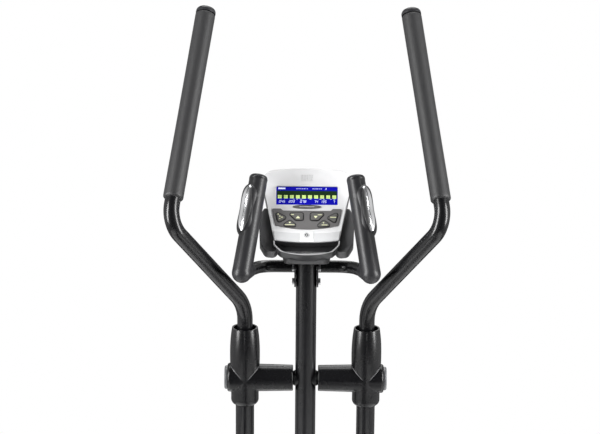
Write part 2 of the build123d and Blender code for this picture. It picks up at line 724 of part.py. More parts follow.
with BuildPart() as flywheel:
    with BuildSketch(across(FLYWHEEL_LEFT, FLYWHEEL_Y, FLYWHEEL_Z)):
        Circle(FLYWHEEL_R)
    extrude(amount=FLYWHEEL_W)
    for face in (FLYWHEEL_LEFT, FLYWHEEL_LEFT + FLYWHEEL_W - 6):
        with BuildSketch(across(face, FLYWHEEL_Y, FLYWHEEL_Z)):
            Circle(FLYWHEEL_R - 22)
            Circle(26, mode=Mode.SUBTRACT)
        extrude(amount=6, mode=Mode.SUBTRACT)
    hub_left = fork_left + FORK_T + HUB_GAP
    hub_right = fork_right - FORK_T - HUB_GAP
    with BuildSketch(across(hub_left, FLYWHEEL_Y, FLYWHEEL_Z)):
        Circle(14)
    extrude(amount=hub_right - hub_left)
    with BuildSketch(across(PULLEY_IN, FLYWHEEL_Y, FLYWHEEL_Z)):
        Circle(SMALL_PULLEY_R)
    extrude(amount=PULLEY_W)
    with BuildSketch(across(hub_left - 1, FLYWHEEL_Y, FLYWHEEL_Z)):
        Circle(FLYWHEEL_AXLE_R + RUNNING)
    extrude(amount=hub_right - hub_left + 2, mode=Mode.SUBTRACT)
write("flywheel", flywheel)

NUT_T = 4.5

with BuildPart() as flywheel_axle:
    with BuildSketch(across(fork_left, FLYWHEEL_Y, FLYWHEEL_Z)):
        Circle(FLYWHEEL_AXLE_R)
    extrude(amount=fork_right - fork_left)
    for near in (fork_left - NUT_T, fork_right):
        with BuildSketch(across(near, FLYWHEEL_Y, FLYWHEEL_Z)):
            RegularPolygon(11, 6)
        extrude(amount=NUT_T)
write("flywheel_axle", flywheel_axle)

with BuildPart() as drive_belt:
    belt_x = PULLEY_IN + (PULLEY_W - BELT_W) / 2
    for radius_added, mode in ((BELT_GAP + BELT_T, Mode.ADD), (BELT_GAP, Mode.SUBTRACT)):
        with BuildSketch(across(belt_x, 0, 0)):
            with Locations((CRANK_Y, crank_z)):
                Circle(PULLEY_R + radius_added)
            with Locations((FLYWHEEL_Y, FLYWHEEL_Z)):
                Circle(SMALL_PULLEY_R + radius_added)
            make_hull()
        extrude(amount=BELT_W, mode=mode)
write("drive_belt", drive_belt)

def sector(inner, outer, start, end):
    """Ring sector between two radii and two angles."""
    with BuildSketch() as ring_sector:
        with BuildLine():
            for radius in (inner, outer):
                CenterArc((0, 0), radius, start, end - start)
            for angle in (start, end):
                turn = radians(angle)
                Line((inner * cos(turn), inner * sin(turn)), (outer * cos(turn), outer * sin(turn)))
        make_face()
    return ring_sector.sketch


with BuildPart() as magnet_brake:
    with BuildSketch(across(brake_left, FLYWHEEL_Y, FLYWHEEL_Z)):
        add(sector(BRAKE_IN_R, BRAKE_OUT_R, brake_start, brake_end))
    extrude(amount=brake_width)
    with BuildSketch(across(brake_left, brake_pin_y, brake_pin_z)):
        Circle(6)
    extrude(amount=brake_width)
    with BuildSketch(across(brake_left + BRAKE_CHEEK, FLYWHEEL_Y, FLYWHEEL_Z)):
        add(sector(BRAKE_IN_R - 10, BRAKE_WEB_R, brake_start - 5, brake_end + 8))
    extrude(amount=brake_width - 2 * BRAKE_CHEEK, mode=Mode.SUBTRACT)
    with BuildSketch(across(brake_left - 1, brake_pin_y, brake_pin_z)):
        Circle(BRAKE_PIN_R + RUNNING)
    extrude(amount=brake_width + 2, mode=Mode.SUBTRACT)
write("magnet_brake", magnet_brake)

MOTOR_Y = -225.0
MOTOR_SIZE = (34.0, 46.0, 34.0)

with BuildPart() as brake_motor:
    with Locations((0, MOTOR_Y, spine_top + MOTOR_SIZE[2] / 2)):
        Box(*MOTOR_SIZE)
    fillet(brake_motor.edges().filter_by(Axis.Z), 4)
    with BuildSketch(Plane.XY.offset(spine_top + MOTOR_SIZE[2])):
        with Locations((0, MOTOR_Y)):
            Circle(12)
    extrude(amount=6)
write("brake_motor", brake_motor)

# drive covers: two hollow shells that meet on the middle plane
INLET_R = 8.0
INLET_X = 30.0
INLET_HOLE_R = 3.2
INLET_DEPTH = 11.0
INLET_LIP = 2.0
COVER_EDGE = 14.0
inlet_back = CRANK_Y - COVER_REAR_R
inlet_plane = Plane(origin=(INLET_X, inlet_back - INLET_LIP, crank_z), x_dir=(1, 0, 0), z_dir=(0, 1, 0))


def drive_cover(side):
    """One half of the drive housing, open on the middle plane."""
    with BuildPart() as cover:
        with BuildSketch(Plane.YZ):
            with Locations((CRANK_Y, crank_z)):
                Circle(COVER_REAR_R)
            with Locations((FLYWHEEL_Y, FLYWHEEL_Z)):
                Circle(COVER_FRONT_R)
            make_hull()
        extrude(amount=side * COVER_HALF)
        outer_face = cover.faces().sort_by(Axis.X)[-1 if side > 0 else 0]
        fillet(outer_face.edges(), COVER_EDGE)
        middle_face = cover.faces().sort_by(Axis.X)[0 if side > 0 else -1]
        offset(amount=-COVER_WALL, openings=middle_face)
        with BuildSketch(across(0, CRANK_Y, crank_z)):
            Circle(CRANK_AXLE_R + 6)
        extrude(amount=side * (COVER_HALF + 1), mode=Mode.SUBTRACT)
        spine_slot = SPINE_W / 2 + EASY
        add(bar(-spine_half_length, spine_half_length, spine_slot, 0, spine_top + EASY), mode=Mode.SUBTRACT)
        if side > 0:
            with BuildSketch(inlet_plane):
                Circle(INLET_R - INLET_LIP)
            extrude(amount=4 * COVER_WALL, mode=Mode.SUBTRACT)
    return cover


for side, name in ((-1, "left"), (1, "right")):
    write(f"drive_cover_{name}", drive_cover(side))

with BuildPart() as power_inlet:
    with BuildSketch(inlet_plane):
        Circle(INLET_R)
    extrude(amount=INLET_LIP)
    with BuildSketch(inlet_plane):
        Circle(INLET_R - INLET_LIP)
    extrude(amount=INLET_DEPTH + 2)
    with BuildSketch(inlet_plane):
        Circle(INLET_HOLE_R)
    extrude(amount=INLET_DEPTH, mode=Mode.SUBTRACT)
write("power_inlet", power_inlet)

# ---------------------------------------------------------------- pulse bar

cross_tube = arm_plane(0, PULSE_UP)
cross_y = cross_tube.origin.Y + PULSE_AHEAD * lean_cos
cross_z = cross_tube.origin.Z + PULSE_AHEAD * lean_sin
grip_low = from_pivot(GRIP_LOW)
grip_high = from_pivot(GRIP_HIGH)
grip_way = (grip_high - grip_low).normalized()
grip_length = (grip_high - grip_low).length
BAR_CORNER_X = 92.0
BAR_BEND = 42.0
bar_corner = Vector(BAR_CORNER_X, cross_y, cross_z)
branch_way = (grip_low - bar_corner).normalized()
branch_end = grip_low - branch_way * 8

with BuildPart() as pulse_bar:
    with BuildLine() as bar_path:
        FilletPolyline(
            (-branch_end.X, branch_end.Y, branch_end.Z),
            (-bar_corner.X, bar_corner.Y, bar_corner.Z),
            bar_corner,
            branch_end,
            radius=BAR_BEND,
        )
    with BuildSketch(Plane(origin=branch_end, z_dir=branch_way * -1)):
        Circle(PULSE_R)
        Circle(PULSE_R - PULSE_WALL, mode=Mode.SUBTRACT)
    sweep(path=bar_path.wires()[0])
write("pulse_bar", pulse_bar)

BRACKET_T = 3.2
BRACKET_GAP = 0.2
plate_in = MAST_R + BRACKET_GAP

with BuildPart() as bar_bracket:
    for near in (-plate_in - BRACKET_T, plate_in):
        with BuildSketch(across(near, 0, 0)):
            with Locations((cross_y, cross_z)):
                Circle(PULSE_R + 3)
            for height in plate_bolts:
                hole = arm_plane(0, height).origin
                with Locations((hole.Y - 4, hole.Z)):
                    Circle(11)
            make_hull()
            with Locations((cross_y, cross_z)):
                Circle(PULSE_R, mode=Mode.SUBTRACT)
            for height in plate_bolts:
                hole = arm_plane(0, height).origin
                with Locations((hole.Y, hole.Z)):
                    Circle(BOLT_HOLE_R, mode=Mode.SUBTRACT)
        extrude(amount=BRACKET_T)
write("bar_bracket", bar_bracket)

with BuildPart() as frame_bolts:
    head = plate_in + BRACKET_T
    for height in plate_bolts:
        hole = arm_plane(0, height).origin
        with BuildSketch(across(-head, hole.Y, hole.Z)):
            Circle(BOLT_R)
        extrude(amount=2 * head)
        for near in (-head - BOLT_HEAD_T, head):
            with BuildSketch(across(near, hole.Y, hole.Z)):
                Circle(BOLT_HEAD_R)
            extrude(amount=BOLT_HEAD_T)
    with BuildSketch(Plane.XY.offset(spine_top + FLANGE_T)):
        with Locations((0, mast_foot_y)):
            with GridLocations(2 * FLANGE_BOLT, 2 * FLANGE_BOLT, 2, 2):
                Circle(BOLT_HEAD_R)
    extrude(amount=BOLT_HEAD_T)
    with BuildSketch(Plane.XY.offset(spine_top - PAD_T - 8)):
        with Locations((0, mast_foot_y)):
            with GridLocations(2 * FLANGE_BOLT, 2 * FLANGE_BOLT, 2, 2):
                Circle(BOLT_R)
    extrude(amount=PAD_T + FLANGE_T + 8)
write("frame_bolts", frame_bolts)

# pulse grips: a tapered grip with a round heel, a palm swelling and a cone that takes the bar
CONE_LENGTH = 48.0
CONE_TIP_R = 14.4


def palm(radius):
    """Spindle-shaped swelling on the outer side of the right-hand grip."""
    centre = grip_low + grip_way * (grip_length * PALM_AT) + palm_side * PALM_OUT
    normal = palm_side.cross(grip_way)
    with BuildPart() as spindle:
        with BuildSketch(Plane(origin=centre, x_dir=palm_side, z_dir=normal)):
            with BuildLine():
                Spline((0, -PALM_HALF), (radius, 0), (0, PALM_HALF), tangents=((1, 0.25), (-1, 0.25)))
                Line((0, -PALM_HALF), (0, PALM_HALF))
            make_face()
        revolve(axis=Axis(centre, grip_way))
    return spindle.part


palm_side = Vector(1, -0.25, 0)
palm_side = (palm_side - grip_way * palm_side.dot(grip_way)).normalized()

with BuildPart() as grip_right:
    with BuildSketch(Plane(origin=grip_low, z_dir=grip_way)):
        Circle(GRIP_LOW_R)
    with BuildSketch(Plane(origin=grip_high, z_dir=grip_way)):
        Circle(GRIP_HIGH_R)
    loft()
    with Locations(grip_low):
        Sphere(GRIP_LOW_R)
    with BuildSketch(Plane(origin=grip_low - branch_way * CONE_LENGTH, z_dir=branch_way)):
        Circle(CONE_TIP_R)
    with BuildSketch(Plane(origin=grip_low, z_dir=branch_way)):
        Circle(GRIP_LOW_R - 0.5)
    loft()
    add(palm(PALM_R))
    with BuildSketch(Plane(origin=branch_end, z_dir=branch_way * -1)):
        Circle(PULSE_R)
    extrude(amount=CONE_LENGTH, mode=Mode.SUBTRACT)

# sensor plates: curved oval plates let into the palm swelling, front and back
SENSOR_T = 1.4
SENSOR_PROUD = 0.5
SENSOR_LENGTH = 98.0
SENSOR_WIDTH = 25.0
SENSOR_TURN = 52.0       # each plate faces this far from the swelling's outer side
outer_palm = palm(PALM_R + SENSOR_PROUD)
inner_palm = palm(PALM_R - SENSOR_T)


def sensor_plate(turn):
    """Oval piece of the palm's skin, turned about the grip from its outer side."""
    facing = palm_side.rotate(Axis((0, 0, 0), grip_way), turn)
    centre = grip_low + grip_way * (grip_length * PALM_AT) + palm_side * PALM_OUT
    with BuildPart() as plate:
        add(outer_palm)
        add(inner_palm, mode=Mode.SUBTRACT)
        with BuildSketch(Plane(origin=centre, x_dir=grip_way, z_dir=facing)):
            Ellipse(SENSOR_LENGTH / 2, SENSOR_WIDTH / 2)
        extrude(amount=2 * PALM_R, mode=Mode.INTERSECT)
    return plate.part


plate_front = sensor_plate(-SENSOR_TURN)
plate_back = sensor_plate(SENSOR_TURN)

with BuildPart() as sensors_right:
    add(plate_front)
    add(plate_back)

with BuildPart() as sensor_plates:
    add(sensors_right.part)
    mirror(sensors_right.part, about=Plane.YZ)
write("sensor_plates", sensor_plates)

PULSE_CAP = 9.0

with BuildPart() as pulse_grips:
    add(grip_right.part)
    add(sensors_right.part, mode=Mode.SUBTRACT)
    add(dome(grip_high, grip_way, GRIP_HIGH_R, PULSE_CAP))
    mirror(pulse_grips.part, about=Plane.YZ)
write("pulse_grips", pulse_grips)

# ---------------------------------------------------------------- console

tilt_sin = sin(radians(CONSOLE_TILT))
tilt_cos = cos(radians(CONSOLE_TILT))
face = Plane(
    origin=(0, PIVOT_Y + CONSOLE_Y, PIVOT_Z + CONSOLE_Z),
    x_dir=(1, 0, 0),
    z_dir=(0, -tilt_cos, tilt_sin),
)


def console_outline(inset):
    """Outline of the console's face: wider at the top, with an arched top edge."""
    top = FACE_TOP - inset
    shoulder = FACE_SHOULDER - inset
    bottom = FACE_BOTTOM + inset
    wide = FACE_TOP_HALF - inset
    narrow = FACE_BOTTOM_HALF - inset
    with BuildSketch() as outline:
        with BuildLine():
            ThreePointArc((-wide, shoulder), (0, top), (wide, shoulder))
            Line((wide, shoulder), (narrow, bottom))
            ThreePointArc((narrow, bottom), (0, bottom - FACE_SAG), (-narrow, bottom))
            Line((-narrow, bottom), (-wide, shoulder))
        make_face()
        upper = outline.vertices().group_by(Axis.Y)[-1]
        fillet(upper, 24 - inset)
        lower = outline.vertices().group_by(Axis.Y)[0]
        fillet(lower, 6 - inset)
    return outline.sketch


# buttons of the left half of the keypad, as corners across and up the face
BUTTON_CORNER = 3.0
SIDE_BUTTONS = {
    "outer": ((-63.5, -17.5), (-41.0, -30.5), (-57.5, -41.5)),
    "arrow": ((-37.0, -20.0), (-8.0, -20.0), (-8.0, -36.0), (-22.5, -36.0)),
    "lower": ((-50.5, -49.5), (-18.0, -51.5), (-34.0, -37.0)),
}
BUTTON_NAMES = {
    "outer": ("outer_left", "outer_right"),
    "arrow": ("up", "down"),
    "lower": ("lower_left", "lower_right"),
}


def button_shape(corners, side, grow):
    """Rounded button outline on either half of the keypad, grown for its opening."""
    points = [(-side * across_face, up_face) for across_face, up_face in corners]
    with BuildSketch() as outline:
        with BuildLine():
            Polyline(*points, close=True)
        make_face()
        fillet(outline.vertices(), BUTTON_CORNER)
        if grow:
            offset(amount=grow)
    return outline.sketch


def button_holes(depth_from, depth_to):
    """Openings for all the buttons, between two depths of the console's face."""
    with BuildPart() as holes:
        for corners in SIDE_BUTTONS.values():
            for side in (-1, 1):
                with BuildSketch(face.offset(depth_from)):
                    add(button_shape(corners, side, BUTTON_FIT))
                extrude(amount=depth_to - depth_from)
    return holes.part


KEYPAD_TOP = -9.5
BADGE_V = -4.8
BADGE_W = 58.0
BADGE_H = 9.0
BADGE_T = 1.2
JACK_V = -70.5
JACK_W = 27.0
JACK_H = 15.0
JACK_HOLE_R = 1.8
JACK_BARREL_R = 4.0
JACK_DEPTH = 14.0
SPEAKER_V = 63.0
SPEAKER_R = 16.0

with BuildPart() as console_fascia:
    with BuildSketch(face.offset(-FASCIA_T)):
        add(console_outline(0))
    extrude(amount=FASCIA_T)
    with BuildSketch(face.offset(-FASCIA_T)):
        with Locations((0, LCD_V)):
            RectangleRounded(LCD_W, LCD_H, 2)
        with Locations((0, JACK_V)):
            Circle(JACK_BARREL_R)
        with Locations((0, SPEAKER_V)):
            with GridLocations(5, 1, 5, 1):
                SlotOverall(14, 2, rotation=90)
    extrude(amount=FASCIA_T, mode=Mode.SUBTRACT)
    add(button_holes(-FASCIA_T, 1), mode=Mode.SUBTRACT)
    # blank raised badge between the display and the keypad
    with BuildSketch(face):
        with Locations((0, BADGE_V)):
            Ellipse(BADGE_W / 2, BADGE_H / 2)
    extrude(amount=BADGE_T)
write("console_fascia", console_fascia)

with BuildPart() as lcd_screen:
    with BuildSketch(face.offset(-FASCIA_T)):
        with Locations((0, LCD_V)):
            RectangleRounded(LCD_W - 2 * BUTTON_FIT, LCD_H - 2 * BUTTON_FIT, 2)
    extrude(amount=FASCIA_T - 1)
    with BuildSketch(face.offset(-FASCIA_T)):
        with Locations((0, LCD_V)):
            Rectangle(LCD_W + 6, LCD_H + 4)
    extrude(amount=-4)
write("lcd_screen", lcd_screen)

KEYPAD_MIDDLE_TOP = -14.0
KEYPAD_SHOULDER_OUT = 53.0
KEYPAD_SHOULDER_IN = 48.5
KEYPAD_CORNER = 2.5
KEYPAD_BOTTOM = -57.0
KEYPAD_SIDE_BOTTOM = -48.0
KEYPAD_TOP_HALF = 71.0
KEYPAD_BOTTOM_HALF = 63.5

with BuildPart() as keypad_overlay:
    with BuildSketch(face) as keypad_face:
        with BuildLine():
            Polyline((-KEYPAD_TOP_HALF, KEYPAD_TOP), (-KEYPAD_SHOULDER_OUT, KEYPAD_TOP),
                     (-KEYPAD_SHOULDER_IN, KEYPAD_MIDDLE_TOP), (KEYPAD_SHOULDER_IN, KEYPAD_MIDDLE_TOP),
                     (KEYPAD_SHOULDER_OUT, KEYPAD_TOP), (KEYPAD_TOP_HALF, KEYPAD_TOP))
            Line((KEYPAD_TOP_HALF, KEYPAD_TOP), (KEYPAD_BOTTOM_HALF, KEYPAD_SIDE_BOTTOM))
            ThreePointArc((KEYPAD_BOTTOM_HALF, KEYPAD_SIDE_BOTTOM), (0, KEYPAD_BOTTOM),
                          (-KEYPAD_BOTTOM_HALF, KEYPAD_SIDE_BOTTOM))
            Line((-KEYPAD_BOTTOM_HALF, KEYPAD_SIDE_BOTTOM), (-KEYPAD_TOP_HALF, KEYPAD_TOP))
        make_face()
        fillet(keypad_face.vertices(), KEYPAD_CORNER)
    extrude(amount=KEYPAD_T)
    add(button_holes(-1, KEYPAD_T + 1), mode=Mode.SUBTRACT)
write("keypad_overlay", keypad_overlay)

for kind, corners in SIDE_BUTTONS.items():
    for side, name in zip((-1, 1), BUTTON_NAMES[kind]):
        with BuildPart() as button:
            with BuildSketch(face.offset(BUTTON_BACK)):
                add(button_shape(corners, side, 0))
            extrude(amount=BUTTON_FRONT - BUTTON_BACK)
        write(f"button_{name}", button)

with BuildPart() as audio_jack:
    with BuildSketch(face):
        with Locations((0, JACK_V)):
            RectangleRounded(JACK_W, JACK_H, 5)
    extrude(amount=2)
    fillet(audio_jack.faces().sort_by(Axis(face.origin, face.z_dir))[-1].edges(), 1.2)
    with BuildSketch(face):
        with Locations((0, JACK_V)):
            Circle(JACK_BARREL_R)
    extrude(amount=-JACK_DEPTH)
    with BuildSketch(face.offset(2)):
        with Locations((0, JACK_V)):
            Circle(JACK_HOLE_R)
    extrude(amount=-JACK_DEPTH, mode=Mode.SUBTRACT)
write("audio_jack", audio_jack)

BOARD_T = 1.6
BOARD_BACK = -FASCIA_T - 4.0 - BOARD_T

with BuildPart() as console_electronics:
    with BuildSketch(face.offset(BOARD_BACK)):
        with Locations((0, -8)):
            Rectangle(112, 100)
    extrude(amount=BOARD_T)
    with BuildSketch(face.offset(-FASCIA_T)):
        with Locations((0, SPEAKER_V)):
            Circle(SPEAKER_R)
    extrude(amount=-12)
write("console_electronics", console_electronics)

# back shell: hollow behind the face, with side pods and a neck on the mast
NECK_HALF = 46.0
NECK_BOTTOM = 249.0
NECK_TOP = 285.0
NECK_FLARE = -14.0
NECK_BACK = -1.0
NECK_FRONT = -58.0
CHIN_POINTS = ((68.0, -84.0), (67.0, -94.0), (53.0, -109.0))
CHIN_BOTTOM = -117.0
CHIN_TOP = -70.0
CHIN_FACE = 1.0
CHIN_WALL = 3.6
TRAY_DEPTH = 22.0
TRAY_BACK = 3.0
POD_BACK = 36.0
POD_FACE = -8.0
POD_OUTLINE = ((-60, -4), (-87, -4), (-97, -24), (-95, -82), (-84, -102), (-58, -105))


def chin(inset):
    """Bowl-shaped outline under the face, open at its top."""
    side_points = [(half - inset * 0.95, up_face + inset * 0.3) for half, up_face in CHIN_POINTS]
    low_half, low = side_points[-1]
    with BuildSketch() as bowl:
        with BuildLine():
            ThreePointArc((-low_half, low), (0, CHIN_BOTTOM + inset), (low_half, low))
            Polyline(*side_points[::-1], (side_points[0][0], CHIN_TOP), (-side_points[0][0], CHIN_TOP),
                     *[(-half, up_face) for half, up_face in side_points])
        make_face()
        fillet(bowl.vertices().filter_by(lambda corner: corner.Y < low + 1), 9)
    return bowl.sketch


with BuildPart() as console_back:
    with BuildSketch(face.offset(-CONSOLE_DEPTH)):
        add(console_outline(0))
    extrude(amount=CONSOLE_DEPTH - FASCIA_T)
    fillet(console_back.faces().sort_by(Axis(face.origin, face.z_dir))[0].edges(), 7)
    for side in (-1, 1):
        with BuildSketch(face.offset(-POD_BACK)) as pod:
            with BuildLine():
                Polyline(*[(-side * out, up_face) for out, up_face in POD_OUTLINE], close=True)
            make_face()
            fillet(pod.vertices().filter_by(lambda corner: corner.Y < -50), 12)
            fillet(pod.vertices().filter_by(lambda corner: corner.Y > -10), 5)
        extrude(amount=POD_BACK + POD_FACE)
    with BuildSketch(Plane.XY.offset(PIVOT_Z + NECK_BOTTOM)):
        with Locations((0, PIVOT_Y + (NECK_FRONT + NECK_BACK) / 2)):
            RectangleRounded(2 * NECK_HALF, NECK_BACK - NECK_FRONT, 16)
    extrude(amount=NECK_TOP - NECK_BOTTOM, taper=NECK_FLARE)
    with BuildSketch(Plane.XY.offset(PIVOT_Z + NECK_BOTTOM)):
        Rectangle(800, 3000)
    extrude(amount=-100, mode=Mode.SUBTRACT)
    # room for the tray, the hollow behind the face and the mast
    with BuildSketch(face.offset(-TRAY_DEPTH)):
        add(chin(0))
        add(console_outline(0), mode=Mode.SUBTRACT)
    extrude(amount=TRAY_DEPTH + 60, mode=Mode.SUBTRACT)
    with BuildSketch(face.offset(-CONSOLE_DEPTH + CONSOLE_WALL)):
        add(console_outline(CONSOLE_WALL))
    extrude(amount=CONSOLE_DEPTH - CONSOLE_WALL - FASCIA_T, mode=Mode.SUBTRACT)
    with BuildSketch(face.offset(-FASCIA_T)):
        add(console_outline(0))
    extrude(amount=60, mode=Mode.SUBTRACT)
    with BuildSketch(arm_plane(0, NECK_BOTTOM - 20)):
        Circle(MAST_R)
    extrude(amount=MAST_TOP - NECK_BOTTOM + 20, mode=Mode.SUBTRACT)
write("console_back", console_back)

with BuildPart() as accessory_tray:
    with BuildSketch(face.offset(-TRAY_DEPTH)):
        add(chin(0))
        add(console_outline(0), mode=Mode.SUBTRACT)
    extrude(amount=TRAY_DEPTH + CHIN_FACE)
    with BuildSketch(face.offset(-TRAY_DEPTH + TRAY_BACK)):
        add(chin(CHIN_WALL))
        add(console_outline(0), mode=Mode.SUBTRACT)
    extrude(amount=TRAY_DEPTH + 10, mode=Mode.SUBTRACT)
write("accessory_tray", accessory_tray)
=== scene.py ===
"""Looks of the elliptical trainer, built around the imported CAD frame. Units are metres."""
import json
from math import cos, pi, radians, sin, sqrt

import bmesh
import bpy
from mathutils import Matrix, Vector


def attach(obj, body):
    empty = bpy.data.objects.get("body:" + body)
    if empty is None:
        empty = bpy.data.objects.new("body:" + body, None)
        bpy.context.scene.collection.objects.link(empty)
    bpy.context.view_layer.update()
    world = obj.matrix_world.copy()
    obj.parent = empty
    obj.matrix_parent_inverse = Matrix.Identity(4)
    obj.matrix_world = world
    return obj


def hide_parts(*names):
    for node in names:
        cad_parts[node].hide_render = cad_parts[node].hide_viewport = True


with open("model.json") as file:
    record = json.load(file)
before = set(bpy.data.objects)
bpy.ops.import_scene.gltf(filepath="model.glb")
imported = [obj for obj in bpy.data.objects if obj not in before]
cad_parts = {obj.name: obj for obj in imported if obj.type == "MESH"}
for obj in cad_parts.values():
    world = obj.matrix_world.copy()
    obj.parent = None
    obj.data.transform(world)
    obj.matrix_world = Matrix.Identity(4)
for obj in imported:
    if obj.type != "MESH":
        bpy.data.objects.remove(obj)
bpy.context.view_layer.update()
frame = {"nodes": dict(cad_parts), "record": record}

scene = bpy.context.scene
nodes = frame["nodes"]

# Driving points, from the middle of the handle pivot
PIVOT = Vector((0.0, 0.520, 0.835))
ELBOW_HIGH = Vector((0.271, -0.170, 0.350))
HANDLE_TOP = Vector((0.209, 0.090, 0.754))
FOAM_START = 0.052
GRIP_CAP = 0.014
FOAM_R = 0.0203
UPPER_R = 0.015875
GRIP_LOW = Vector((0.129, -0.110, 0.240))
GRIP_HIGH = Vector((0.099, -0.014, 0.414))
GRIP_HIGH_R = 0.0186
GRIP_DOME = 0.009

# The console's face: x across, v up the face, d out of the face
FACE_ORIGIN = PIVOT + Vector((0.0, -0.005, 0.362))
FACE_TILT = radians(38.0)
FACE_X = Vector((1.0, 0.0, 0.0))
FACE_V = Vector((0.0, sin(FACE_TILT), cos(FACE_TILT)))
FACE_N = Vector((0.0, -cos(FACE_TILT), sin(FACE_TILT)))


def face_point(x, v, d):
    """A point on the console's face, given in millimetres."""
    return FACE_ORIGIN + (FACE_X * x + FACE_V * v + FACE_N * d) * 0.001


# ------------------------------------------------------------------ materials

EDGE_SAMPLES = 4
DARK_SPECULAR = 0.35


class Mat:
    """A small wrapper that builds one procedural material."""

    def __init__(self, name, color, rough, metal=0.0, coat=0.0, coat_rough=0.1, specular=0.5, edge=0.0):
        self.material = bpy.data.materials.new(name)
        self.material.use_nodes = True
        self.tree = self.material.node_tree
        self.shader = self.tree.nodes["Principled BSDF"]
        self.color = color
        self.rough = rough
        self.put(self.shader, "Base Color", (*color, 1.0))
        self.put(self.shader, "Roughness", rough)
        self.put(self.shader, "Metallic", metal)
        self.put(self.shader, "Coat Weight", coat)
        self.put(self.shader, "Coat Roughness", coat_rough)
        self.put(self.shader, "Specular IOR Level", specular)
        self.height = None
        self.coords = self.tree.nodes.new("ShaderNodeTexCoord")
        if edge:
            self.soften(edge)

    def soften(self, radius):
        """Rounds sharp edges in the shading, as a small mould or weld radius does."""
        node = self.tree.nodes.new("ShaderNodeBevel")
        node.samples = EDGE_SAMPLES
        self.put(node, "Radius", radius)
        self.height = node.outputs["Normal"]
        self.link(self.height, self.shader.inputs["Normal"])

    def put(self, node, socket, value):
        node.inputs[socket].default_value = value

    def link(self, source, target):
        self.tree.links.new(source, target)

    def stretched(self, scale):
        """Object coordinates, scaled by a different amount along each axis."""
        mapping = self.tree.nodes.new("ShaderNodeMapping")
        self.put(mapping, "Scale", scale)
        self.link(self.coords.outputs["Object"], mapping.inputs["Vector"])
        return mapping.outputs["Vector"]

    def noise(self, scale, detail=4.0, stretch=None):
        texture = self.tree.nodes.new("ShaderNodeTexNoise")
        self.put(texture, "Scale", scale)
        self.put(texture, "Detail", detail)
        vector = self.stretched(stretch) if stretch else self.coords.outputs["Object"]
        self.link(vector, texture.inputs["Vector"])
        return texture.outputs["Fac"]

    def cells(self, scale):
        texture = self.tree.nodes.new("ShaderNodeTexVoronoi")
        self.put(texture, "Scale", scale)
        self.link(self.coords.outputs["Object"], texture.inputs["Vector"])
        return texture.outputs["Distance"]

    def ramp(self, factor, low, high, start=0.35, end=0.65):
        """Colour ramp between two colours."""
        node = self.tree.nodes.new("ShaderNodeValToRGB")
        node.color_ramp.elements[0].position = start
        node.color_ramp.elements[1].position = end
        node.color_ramp.elements[0].color = (*low, 1.0)
        node.color_ramp.elements[1].color = (*high, 1.0)
        self.link(factor, node.inputs["Fac"])
        return node.outputs["Color"]

    def tint(self, factor, amount):
        """Colour that drifts lighter and darker by a share of itself."""
        low = [channel * (1.0 - amount) for channel in self.color]
        high = [channel * (1.0 + amount) for channel in self.color]
        self.link(self.ramp(factor, low, high), self.shader.inputs["Base Color"])

    def vary_rough(self, factor, amount):
        node = self.tree.nodes.new("ShaderNodeMapRange")
        self.put(node, "To Min", max(0.02, self.rough - amount))
        self.put(node, "To Max", min(1.0, self.rough + amount))
        self.link(factor, node.inputs["Value"])
        self.link(node.outputs["Result"], self.shader.inputs["Roughness"])

    def bump(self, factor, distance, strength=1.0):
        """Adds a bump layer; layers stack."""
        node = self.tree.nodes.new("ShaderNodeBump")
        self.put(node, "Distance", distance)
        self.put(node, "Strength", strength)
        self.link(factor, node.inputs["Height"])
        if self.height is not None:
            self.link(self.height, node.inputs["Normal"])
        self.height = node.outputs["Normal"]
        self.link(self.height, self.shader.inputs["Normal"])


def painted_metal(name, color, rough=0.28, edge=0.0012):
    """Sprayed paint: a little orange peel and patches where hands have dulled the gloss."""
    mat = Mat(name, color, rough, specular=DARK_SPECULAR, edge=edge)
    mat.tint(mat.noise(9.0), 0.18)
    mat.vary_rough(mat.noise(14.0, 6.0), 0.06)
    mat.bump(mat.noise(45.0, 2.0), 0.00003, 0.3)
    return mat.material


def powder_coat(name, color, rough=0.42, edge=0.0012):
    """Powder coat: a fine even texture with a satin sheen."""
    mat = Mat(name, color, rough, specular=DARK_SPECULAR, edge=edge)
    mat.tint(mat.noise(12.0), 0.2)
    mat.vary_rough(mat.noise(40.0, 5.0), 0.08)
    mat.bump(mat.noise(1400.0, 3.0), 0.00012, 0.5)
    return mat.material


def moulded(name, color, rough=0.4, grain=0.00006, coat=0.0, grain_scale=1700.0, edge=0.0008):
    """Moulded plastic with a fine spark-eroded grain."""
    mat = Mat(name, color, rough, coat=coat, coat_rough=0.12, specular=DARK_SPECULAR, edge=edge)
    mat.tint(mat.noise(11.0), 0.1)
    mat.vary_rough(mat.noise(30.0, 5.0), 0.05)
    mat.bump(mat.noise(grain_scale, 2.0), grain, 0.6)
    return mat.material


def rubber(name, color, rough=0.75, pores=0.00018, scale=900.0):
    """Moulded rubber with a pitted skin."""
    mat = Mat(name, color, rough, specular=0.35, edge=0.001)
    mat.tint(mat.noise(18.0), 0.2)
    mat.vary_rough(mat.noise(60.0), 0.08)
    mat.bump(mat.cells(scale), pores, 0.8)
    return mat.material


def metal(name, color, rough=0.25, brushed=None, edge=0.0005, grain=0.00002):
    """Bare or plated metal with faint smudges."""
    mat = Mat(name, color, rough, metal=1.0, edge=edge)
    mat.tint(mat.noise(25.0), 0.08)
    mat.vary_rough(mat.noise(55.0, 6.0, stretch=brushed), 0.05)
    mat.bump(mat.noise(260.0, 4.0, stretch=brushed), grain, 0.3)
    return mat.material


